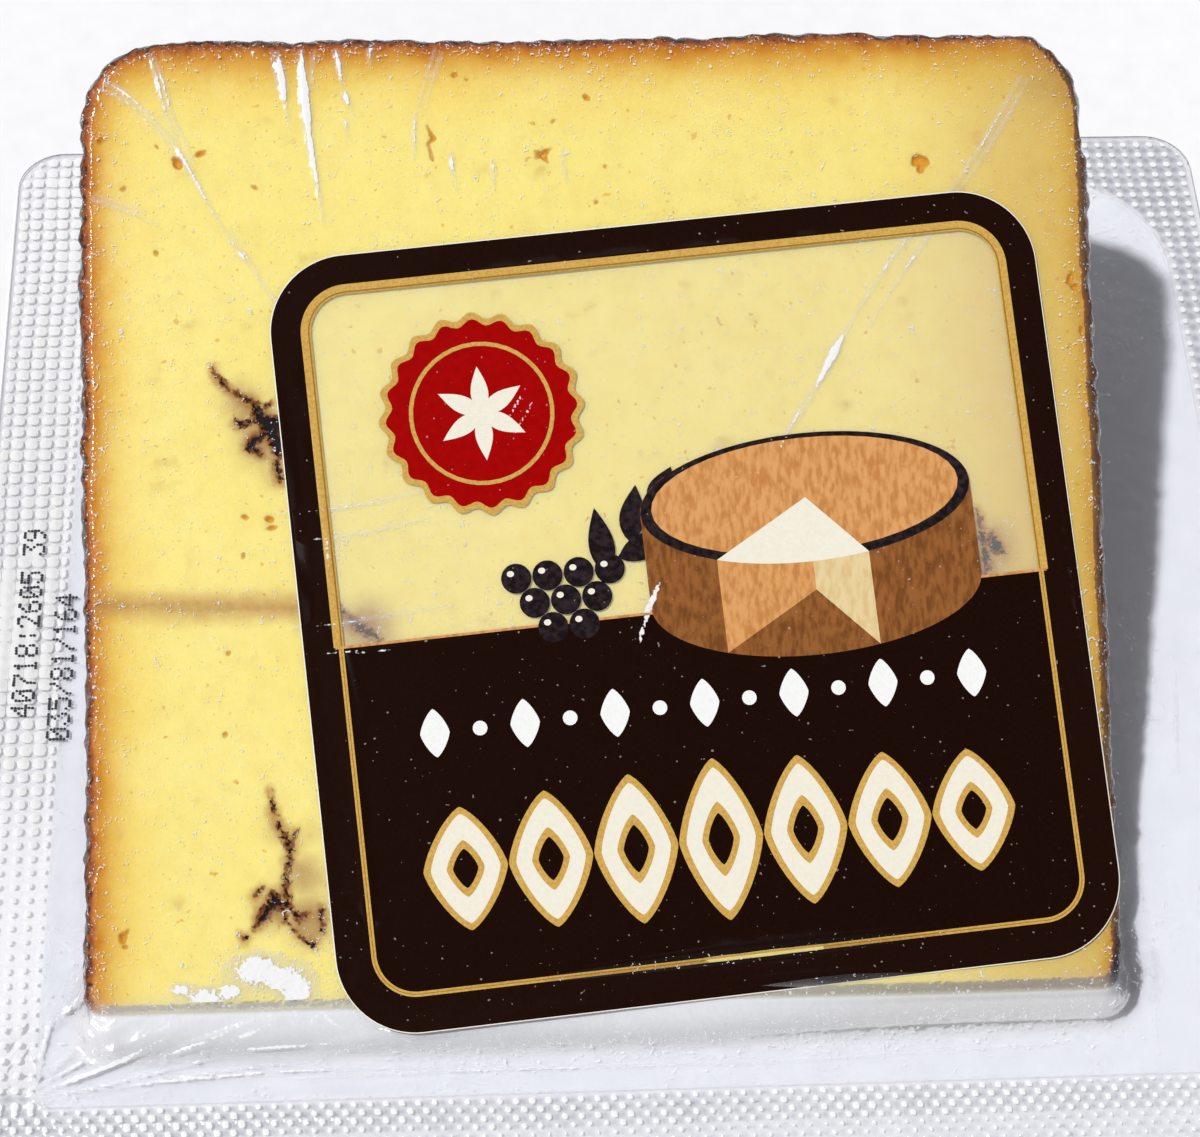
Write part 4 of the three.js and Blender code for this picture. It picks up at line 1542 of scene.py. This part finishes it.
@dataclass
class SealBand:
    """The sealed edge: both webs pressed together between heated plates with a square stud pattern."""

    pack: PackForm = PACK
    pitch: float = 0.25
    stud_pitch: float = 1.5
    front_rows: float = 0.85
    stud: float = 0.12
    lip: float = 0.06
    # The second press line along the front.
    step_line: Fold = Fold(((-70.0, -9.7), (0.0, -9.65), (100.0, -9.6)), 0.5, 0.3)

    def waves(self, plan: Array) -> tuple[Array, Array]:
        """How near places are to a stud's top, and to the hollow between four studs."""
        drift = 0.30 * np.column_stack([noise(plan, 14, 73), noise(plan, 14, 79)])
        across, along = np.cos((plan + drift) * 2 * math.pi / self.stud_pitch).T
        top, hollow = (1 + across) * (1 + along) / 4, (1 - across) * (1 - along) / 4
        # Along the front the rows lie closer, and each is half a stud across from the last.
        beyond = self.pack.seal().front - plan[:, 1] - 0.6
        crossed = across * np.cos((beyond + drift[:, 1]) * math.pi / self.front_rows)
        front = smooth(beyond, -0.6, -0.4)
        top = top + (((1 + crossed) / 2) ** 2 - top) * front
        return top, hollow + (((1 - crossed) / 2) ** 2 - hollow) * front

    def height(self, plan: Array) -> Array:
        """The band's height with its studs."""
        top, hollow = self.waves(plan)
        seal, edge = self.pack.seal(), self.pack.edge()
        calm = smooth(-seal.depth(plan), 0.0, 0.5) * smooth(edge.depth(plan), 0.15, 0.9)
        uneven = 1 + 0.4 * noise(plan, 5, 83, 2)
        base = PackFilm(self.pack.wedge, self.pack).ground(plan)
        line = 0.08 * smooth(self.step_line.inside(plan), -0.3, 0.2)
        return base + calm * self.stud * uneven * (top - 0.6 * hollow) + line

    def marks(self, plan: Array) -> dict[str, Array]:
        """How white the stud tops are painted, as painted glints, and how much the film greys what is behind
        it, partly as painted shade.

        Args:
            plan: Places, two numbers each.

        Returns:
            Named numbers for each place.
        """
        top, hollow = self.waves(plan)
        x, y = plan.T
        out = -self.pack.seal().depth(plan)
        front = smooth(-y, 6.0, 7.5)
        inner = front * (1 - smooth(-y, 10.8, 11.6))
        left = (1 - smooth(x, -54, -50)) * (1 - front)
        low = left * (1 - smooth(y, 12, 34))
        right = (1 - left) * (1 - front)
        outer = front - inner
        # Stud tops are painted white as painted glints; the white spots are larger or smaller on each side of
        # the pack, following how the light falls there.
        size = 0.50 * right + 0.06 * (left - low) + 0.52 * low + 0.46 * inner + 0.66 * outer
        size = size + 0.16 * noise(plan, 2.1, 113) + 0.10 * noise(plan, 11, 127)
        # Painted shade: the film is greyer on the right and along the front than on the left, as the light
        # falls, and darker in the hollows between studs.
        grey = 0.75 * right + 0.12 * (left - low) + 0.12 * low + 0.55 * inner + 0.40 * outer
        edges = smooth(out, 0.1, 0.6) * smooth(self.pack.edge().depth(plan), 0.2, 0.9)
        grey = grey * (0.45 + 0.55 * hollow + 0.15 * noise(plan, 3.0, 119, 2))
        # Darker lines along the pack's outer edge and along the seal's inner edge.
        line = np.exp(-((self.pack.edge().depth(plan) / 0.16) ** 2))
        line = line + 0.7 * np.exp(-((out / 0.2) ** 2)) * (1 - left)
        dot = (top - size) * edges - 0.2 * (1 - edges)
        return {"dot": dot, "grey": np.clip(grey * edges + 0.6 * line, 0, 1)}

    def build(self) -> bpy.types.Object:
        """Makes the band between the seal's inner edge and the pack's outer edge, with a thin lip down.

        Returns:
            The band.
        """
        outer_plan, inner_plan = self.pack.edge(), self.pack.seal()
        outer, outward = outer_plan.at(outer_plan.stations(self.pitch))
        inner, _ = inner_plan.at(inner_plan.stations(self.pack.seal_pitch))
        spread = outer_plan.scatter(self.pitch, lambda plan: np.zeros(len(plan)))
        spread = spread[inner_plan.depth(spread) < -0.12]
        flat = np.concatenate([outer, inner, spread])
        draft = Draft()
        index = draft.add(np.column_stack([flat, self.height(flat)]), **self.marks(flat))
        draft.web(flat, index, [len(outer), len(inner)], hole=inner_plan)
        rim = outer + 0.02 * outward
        lip = draft.add(np.column_stack([rim, np.full(len(rim), self.lip)]), **self.marks(outer))
        draft.strip(index[: len(outer)], lip)
        finish = ClearFilm(
            "cast_film_heat_sealed_with_studs",
            tint="#F8F8FA",
            haze=0.10,
            roughness=0.17,
            ripple=0.05,
            pitch=0.8,
            # The stud tops are painted white as painted glints, and the grey tint holds painted shade.
            milk=("dot", -0.02, 0.10, 0.92),
            grey=("grey", "#AEB0B7"),
        )
        return draft.piece("seal_band", [finish.material()])


@dataclass
class LowerWeb:
    """The lower web, flat under the cheese."""

    pack: PackForm = PACK
    height: float = 0.12
    pitch: float = 4.0

    def build(self) -> bpy.types.Object:
        """Makes the sheet from the seal's outline inwards.

        Returns:
            The sheet.
        """
        plan = self.pack.seal()
        border, _ = plan.at(plan.stations(2.0))
        inner = plan.inset(2).scatter(self.pitch, lambda points: np.zeros(len(points)))
        flat = np.concatenate([border, inner])
        draft = Draft()
        index = draft.add(np.column_stack([flat, self.height + 0.03 * noise(flat, 9, 97)]))
        draft.web(flat, index, [len(border)])
        finish = ClearFilm("cast_film_lower_web", tint="#FCFCFD", haze=0.03, ripple=0.15, pitch=3.0)
        return draft.piece("lower_web", [finish.material()])


# ---- the label ----


def rounded(half: float, radius: float, steps: int = 18) -> Array:
    """The outline of a square with rounded corners, anticlockwise."""
    outline = []
    for x, y, start in ((1, 1, 0), (-1, 1, 90), (-1, -1, 180), (1, -1, 270)):
        turn = np.radians(np.linspace(start, start + 90, steps + 1))
        arc = np.column_stack([np.cos(turn), np.sin(turn)]) * radius
        outline.append(arc + np.array([x, y]) * (half - radius))
    return np.concatenate(outline)


def trimmed(outline: Array, level: float, above: bool) -> Array:
    """Keeps the part of an outline above or below a level line.

    Args:
        outline: Corners in order.
        level: The line's height.
        above: Which side is kept.

    Returns:
        The corners of the kept part.
    """
    sign = 1 if above else -1
    kept = []
    for here, beside in zip(outline, np.roll(outline, -1, axis=0)):
        gap_here, gap_beside = sign * (here[1] - level), sign * (beside[1] - level)
        if gap_here >= 0:
            kept.append(here)
        if gap_here * gap_beside < 0:
            kept.append(here + (beside - here) * gap_here / (gap_here - gap_beside))
    return np.array(kept)


def oval(
    x: float,
    y: float,
    wide: float,
    tall: float,
    start: float = 0,
    stop: float = 360,
    steps: int = 40,
) -> Array:
    """An oval or a slice of one, by its middle, its full width and height, and two angles."""
    turn = np.radians(np.linspace(start, stop, steps, endpoint=stop - start < 360))
    return np.column_stack([x + wide / 2 * np.cos(turn), y + tall / 2 * np.sin(turn)])


def leaf(x: float, y: float, long: float, wide: float, turn: float, steps: int = 12) -> Array:
    """A pointed leaf from its stalk end, anticlockwise.

    Args:
        x: Place of the stalk end.
        y: Place of the stalk end.
        long: Length.
        wide: Full width.
        turn: Direction in degrees.
        steps: Points along each side.

    Returns:
        The leaf's outline.
    """
    share = np.linspace(0, 1, steps)
    bulge = wide / 2 * np.sin(math.pi * share**0.8)
    lower = np.column_stack([share * long, -bulge])
    upper = np.column_stack([share * long, bulge])[::-1]
    outline = np.concatenate([lower, upper[1:-1]])
    return outline @ turned(math.radians(turn)) + [x, y]


def lozenge(x: float, y: float, wide: float, tall: float) -> Array:
    """A lozenge with hollowed sides, by its middle and size."""
    turn = np.linspace(0, 2 * math.pi, 40, endpoint=False)
    x_part = np.sign(np.cos(turn)) * np.abs(np.cos(turn)) ** 1.5
    y_part = np.sign(np.sin(turn)) * np.abs(np.sin(turn)) ** 1.5
    return np.column_stack([x + wide / 2 * x_part, y + tall / 2 * y_part])


class Ink(Enum):
    """The label's inks, in the order of its material slots."""

    EDGE = PrintedFilm("label_film_cut_edge", "#FBF7E8", "#FBF7E8", roughness=0.4)
    BROWN = PrintedFilm("brown_ink_on_label_film", "#1E0D07", "#27110A", 0.3)
    DARK = PrintedFilm("dark_brown_ink_on_label_film", "#1B0B06", "#241009", 0.3)
    GOLD = PrintedFilm("gold_ink_on_label_film", "#D9B05C", "#B98B3D", 0.25, contrast=0.6)
    HAIRLINE = PrintedFilm("bronze_ink_on_label_film", "#A67A2C", "#8C6422", 0.25)
    CREAM = PrintedFilm("thin_cream_ink_on_label_film", "#FFFDF2", "#FBF3DC", 0.5, cover=0.15)
    PALE = PrintedFilm("pale_ink_on_label_film", "#EBD3A0", "#DDBE82", 0.5, 0.35, 0.8)
    RED = PrintedFilm("red_ink_on_label_film", "#A80505", "#8E0202", 0.8)
    TAN = PrintedFilm("tan_ink_on_label_film", "#E2A566", "#C07C40", 0.5, 0.35, 0.8)
    UMBER = PrintedFilm("umber_ink_on_label_film", "#9A6233", "#6E3F1E", 0.5, 0.35, 0.8)
    SOOT = PrintedFilm("soot_ink_on_label_film", "#1B1416", "#3A2E31", 0.6, 1.0, 0.7)
    IVORY = PrintedFilm("ivory_ink_on_label_film", "#F5F0DF", "#EDE4C8", 0.4)
    WHITE = PrintedFilm("white_ink_on_label_film", "#FAFAF8", "#EFEFEC", 0.4)


@dataclass
class PrintedLabel:
    """A square label on the cut face, in cream and dark brown with plain ornaments."""

    size: float = 74.8
    corner: float = 7.6
    turn: float = math.radians(5)
    across: float = 9.0
    up: float = 37.4
    off: float = 0.15
    division: float = -0.5
    cell: float = 1.1

    def shapes(self) -> list[tuple[Array, Ink]]:
        """The print, from the bottom layer up, in millimetres from the label's middle.

        Returns:
            Outlines and their inks.
        """
        half = self.size / 2
        line = self.division

        def frame_at(inset: float) -> Array:
            return rounded(half - inset, max(self.corner - inset, 2.2))

        def upper(inset: float) -> Array:
            """The part of an inset frame above the line between the fields."""
            return trimmed(frame_at(inset), line, True)

        def lower(inset: float) -> Array:
            """The part of an inset frame below that line."""
            return trimmed(frame_at(inset), line, False)

        layers = [
            (frame_at(0), Ink.EDGE),
            (frame_at(0.1), Ink.BROWN),
            (upper(2.95), Ink.GOLD),
            (upper(3.65), Ink.HAIRLINE),
            (upper(3.8), Ink.GOLD),
            (upper(3.92), Ink.CREAM),
            (lower(3.4), Ink.GOLD),
            (lower(3.6), Ink.HAIRLINE),
            (lower(3.68), Ink.GOLD),
            (lower(3.88), Ink.DARK),
            (trimmed(trimmed(frame_at(3.1), line - 0.15, True), line + 0.1, False), Ink.TAN),
        ]
        return layers + self.medallion() + self.wheel() + self.ornaments()

    def medallion(self) -> list[tuple[Array, Ink]]:
        """A plain red medallion with a scalloped edge."""
        x, y, reach, scallops = -18.0, 20.5, 9.6, 20
        turn = np.linspace(0, 2 * math.pi, 8 * scallops, endpoint=False)
        radius = reach + 0.35 * np.cos(scallops * turn)
        edge = np.column_stack([x + radius * np.cos(turn), y + radius * np.sin(turn)])
        rings = [(edge, Ink.GOLD), (edge * 0.93 + np.array([x, y]) * 0.07, Ink.RED)]
        rings += [(oval(x, y, 14.0, 14.0), Ink.GOLD), (oval(x, y, 13.2, 13.2), Ink.RED)]
        return rings + [(leaf(x, y, 4.6, 1.7, 60 * petal + 30), Ink.IVORY) for petal in range(6)]

    def wheel(self) -> list[tuple[Array, Ink]]:
        """A cheese wheel with a wedge cut out of it, a bunch of berries and a spray of leaves."""
        x, y, wide, tall, deep = 12.0, 9.0, 32.0, 12.5, 9.0
        side = np.concatenate([oval(x, y - deep, wide, tall, 180, 360), oval(x, y, wide, tall, 0, 180)])
        cut = (235, 290)
        corner_a, corner_b = (oval(x, y, wide, tall, angle, angle + 1, 2)[0] for angle in cut)
        down, middle = np.array([0, -deep]), np.array([x, y])
        stalk = np.array([[-9.0, 2.4], [-8.8, 2.0], [-2.5, 9.4], [-2.8, 9.7]])
        shapes = [(stalk, Ink.SOOT)]
        for step, turn in enumerate((95, 20, 78, 12, 60)):
            along = 0.2 + 0.2 * step
            shapes.append((leaf(-9 + 6.2 * along, 2.2 + 7.2 * along, 6.6 - 0.5 * step, 2.5, turn), Ink.SOOT))
        shapes += [
            (side, Ink.UMBER),
            (oval(x, y, wide, tall), Ink.SOOT),
            (oval(x, y + 0.2, wide - 2.2, tall - 1.3), Ink.TAN),
            (np.array([middle + down, corner_b + down, corner_b, middle]), Ink.PALE),
            (np.array([corner_a + down, middle + down, middle, corner_a]), Ink.TAN),
            (np.concatenate([[middle], oval(x, y, wide, tall, cut[0], cut[1], 12)]), Ink.IVORY),
        ]
        for row, count in enumerate((4, 3, 2)):
            for berry in range(count):
                at = (-16.5 + 3.0 * berry + 1.5 * row, 4.2 - 2.5 * row)
                shapes.append((oval(*at, 2.9, 2.9, steps=24), Ink.SOOT))
                shapes.append((oval(at[0] - 0.5, at[1] + 0.5, 0.7, 0.6, steps=12), Ink.IVORY))
        return shapes

    def ornaments(self) -> list[tuple[Array, Ink]]:
        """A row of small white lozenges over a row of large ivory ones edged in gold."""
        shapes = []
        # Width and share of the height of a large lozenge's nested outlines.
        nested = (
            (8.0, 1.13, Ink.GOLD),
            (6.6, 1.0, Ink.IVORY),
            (3.6, 0.52, Ink.GOLD),
            (2.4, 0.36, Ink.DARK),
        )
        for step in range(-6, 7):
            small = oval(4.3 * step, -9.6, 1.4, 1.4, steps=20)
            shapes.append((small if step % 2 else lozenge(4.3 * step, -9.6, 2.8, 4.6), Ink.WHITE))
        for step in range(-3, 4):
            at = (8.1 * step, -22.6)
            tall = 13.6 - 1.1 * abs(step)
            for wide, share, ink in nested:
                shapes.append((lozenge(*at, wide, tall * share), ink))
        return shapes

    def placed(self, flat: Array) -> Array:
        """Turns places on the label into places on the cut face."""
        return flat @ turned(self.turn) + [self.across, self.up]

    def build(self) -> bpy.types.Object:
        """Cuts the label into areas of one ink each and lays it on the face.

        Returns:
            The label.
        """
        shapes = self.shapes()
        cover = PackFilm()
        half = self.size / 2
        plan = Plan(-half, half, -half, half, (self.corner,) * 4)
        spread = plan.scatter(self.cell, lambda flat: cover.detail(self.placed(flat)), 0.6)
        outlines, start = [], 0
        for outline, _ in shapes:
            outlines.append(list(range(start, start + len(outline))))
            start += len(outline)
        flat = np.concatenate([outline for outline, _ in shapes] + [spread])
        given = [Vector(at) for at in flat.tolist()]
        places, _, faces, origins, _, owners = delaunay_2d_cdt(given, [], outlines, 1, 1e-5)
        order = list(Ink)
        draft = Draft(faces=[list(face) for face in faces])
        draft.prints = [order.index(shapes[max(owner)][1]) if owner else 0 for owner in owners]
        face = self.placed(np.array([list(place) for place in places]))
        curl = 0.03 * np.minimum(face[:, 1], 0) ** 2
        streak = FOLDS.laid(face, FOLDS.face)[0]
        top = cover.over(face) + curl
        draft.add(WEDGE.on_face(face, top + self.off), streak=streak)
        # The cut edge is a narrow strip down to the film.
        made_from = {source: place for place, sources in enumerate(origins) for source in sources}
        border = np.array([made_from[source] for source in outlines[0]])
        lower = draft.add(WEDGE.on_face(face[border], top[border] + 0.01), streak=-9.0)
        draft.strip(border, lower)
        draft.prints += [0] * len(border)
        return draft.piece("label_sheet", [ink.value.material() for ink in order], ("label",))


@dataclass
class DateCode:
    """A plain code of figures on the left edge, from an ink jet that prints seven dots high."""

    lines: tuple[tuple[str, float, float], ...] = (
        ("40718:2605 39", -56.4, 34.0),
        ("035/81/164", -52.7, 31.2),
    )
    letter_pitch: float = 1.76
    dot_pitch: float = 0.34
    # Columns of dots lie closer together than rows do, by this share.
    squeeze: float = 0.85
    dot: float = 0.165
    off: float = 0.06
    # Rows of dots from the top down.
    patterns: dict[str, str] = field(
        default_factory=lambda: {
            "0": ".###. #...# #..## #.#.# ##..# #...# .###.",
            "1": "..#.. .##.. ..#.. ..#.. ..#.. ..#.. .###.",
            "2": ".###. #...# ....# ...#. ..#.. .#... #####",
            "3": "##### ...#. ..#.. ...#. ....# #...# .###.",
            "4": "...#. ..##. .#.#. #..#. ##### ...#. ...#.",
            "5": "##### #.... ####. ....# ....# #...# .###.",
            "6": "..##. .#... #.... ####. #...# #...# .###.",
            "7": "##### ....# ...#. ..#.. .#... .#... .#...",
            "8": ".###. #...# #...# .###. #...# #...# .###.",
            "9": ".###. #...# #...# .#### ....# ...#. .##..",
            ":": "..... ..#.. ..#.. ..... ..#.. ..#.. .....",
            "/": "....# ....# ...#. ..#.. .#... #.... #....",
            " ": "",
        }
    )

    def build(self) -> bpy.types.Object:
        """Sets every dot as a small disc on the sealed edge.

        Returns:
            The code.
        """
        centres = []
        for text, right, front in self.lines:
            for place, letter in enumerate(text):
                for row, dots in enumerate(self.patterns[letter].split()):
                    for column in (column for column, mark in enumerate(dots) if mark == "#"):
                        x = right - (6 - row) * self.dot_pitch
                        y = front + place * self.letter_pitch + column * self.squeeze * self.dot_pitch
                        centres.append((x, y))
        middle = np.array(centres)
        slip = noise(middle, 0.3, 107)
        ring = oval(0, 0, 2 * self.dot, 2 * self.dot, steps=10)
        discs = ring * (1 + 0.25 * slip)[:, None, None] + middle[:, None]
        plan = discs.reshape(-1, 2)
        height = np.repeat(SealBand().height(middle), len(ring)) + self.off
        draft = Draft()
        index = draft.add(np.column_stack([plan, height]))
        draft.faces = index.reshape(-1, len(ring)).tolist()
        finish = PrintedFilm("ink_jet_code_ink", "#3A3B42", "#55565E", 0.5, roughness=0.5, streak="")
        return draft.piece("date_code", [finish.material()])


# ---- floor, light and camera ----


@dataclass
class Studio:
    """A pale floor, one hard key light from the left, even surroundings, and the camera."""

    floor_size: float = 3000.0
    # The direction to the key light, from how far the wedge's shadow travels for each millimetre of height.
    to_light: tuple[float, float, float] = (-0.405, -0.14, 0.91)
    key: float = 2.05
    key_spread: float = math.radians(2.5)
    # Even surroundings, but for a black card that keeps the label's gloss dark: its direction and strength.
    fill: float = 0.52
    card: tuple[float, float, float] = (0.075, -0.32, 0.944)
    card_fill: float = 0.02
    # Cosines of the angles from the card's middle to its outer and inner edge.
    card_edge: tuple[float, float] = (0.87, 0.96)
    surroundings: str = "#F9F9FD"
    # The camera, from matching the wedge's corners in a photo of 1200 by 1137 pixels.
    focal_pixels: float = 2898.0
    photo_width: float = 1200.0
    sensor: float = 36.0
    camera_at: tuple[float, float, float] = (-11.989, -112.827, 254.065)
    camera_right: tuple[float, float, float] = (0.99876, -0.04323, 0.02462)
    camera_up: tuple[float, float, float] = (0.02306, 0.84076, 0.54091)

    def floor(self) -> None:
        """A matt white board."""
        made, tree, place = blank("white_painted_board")
        # Rolled paint has a faint orange peel about 3 mm across.
        peel = grain(tree, place, 3.0, 3.0)
        tone = add_node(tree, "ValToRGB", {0: peel}, ramp=[(0.3, "#FAFAFB"), (0.7, "#FEFEFE")]).outputs[0]
        board = add_node(tree, "BsdfDiffuse", {"Color": tone, "Normal": bumped(tree, peel, 0.005)})
        finished(tree, board.outputs[0])
        half = self.floor_size / 2 * MM
        mesh = bpy.data.meshes.new("floor")
        corners = [(-half, -half, 0), (half, -half, 0), (half, half, 0), (-half, half, 0)]
        mesh.from_pydata(corners, [], [(0, 1, 2, 3)])
        mesh.materials.append(made)
        board_object = bpy.data.objects.new("floor", mesh)
        bpy.context.scene.collection.objects.link(board_object)

    def lights(self) -> None:
        """The key light as a small far disc, and even surroundings with a black card overhead."""
        key = bpy.data.lights.new("key", "SUN")
        key.energy = self.key
        key.angle = self.key_spread
        holder = bpy.data.objects.new("key", key)
        holder.rotation_euler = Vector(self.to_light).to_track_quat("Z", "Y").to_euler()
        bpy.context.scene.collection.objects.link(holder)
        world = bpy.data.worlds.new("studio")
        world.use_nodes = True
        tree = world.node_tree
        tree.nodes.clear()
        way = add_node(tree, "TexCoord").outputs["Generated"]
        near = add_node(tree, "VectorMath", {0: way, 1: self.card}, operation="DOT_PRODUCT").outputs["Value"]
        strength = stepped(tree, near, *self.card_edge, self.card_fill, self.fill)
        even = {"Color": linear(self.surroundings), "Strength": strength}
        back = add_node(tree, "Background", even).outputs[0]
        add_node(tree, "OutputWorld", {"Surface": back})
        bpy.context.scene.world = world
        bpy.context.scene.view_settings.view_transform = "Standard"

    def camera(self) -> None:
        """The camera at the photo's viewing angle."""
        lens = bpy.data.cameras.new("camera")
        lens.sensor_fit = "HORIZONTAL"
        lens.sensor_width = self.sensor
        lens.lens = self.focal_pixels / self.photo_width * self.sensor
        lens.clip_start = 0.01
        holder = bpy.data.objects.new("camera", lens)
        right, up = Vector(self.camera_right).normalized(), Vector(self.camera_up).normalized()
        facing = Matrix((right, up, right.cross(up))).transposed().to_4x4()
        at = (np.array(self.camera_at) + ORIGIN) * MM
        holder.matrix_world = Matrix.Translation(Vector(at)) @ facing
        bpy.context.scene.collection.objects.link(holder)
        bpy.context.scene.camera = holder

    def build(self) -> None:
        """Sets the studio up."""
        self.floor()
        self.lights()
        self.camera()


def main() -> None:
    """Builds the studio, then the pack from the inside out."""
    logging.basicConfig(level=logging.INFO, format="%(name)s: %(message)s")
    Studio().build()
    for part in (CheeseWedge(), PackFilm(), SealBand(), LowerWeb(), PrintedLabel(), DateCode()):
        part.build()


if __name__ == "__main__":
    main()
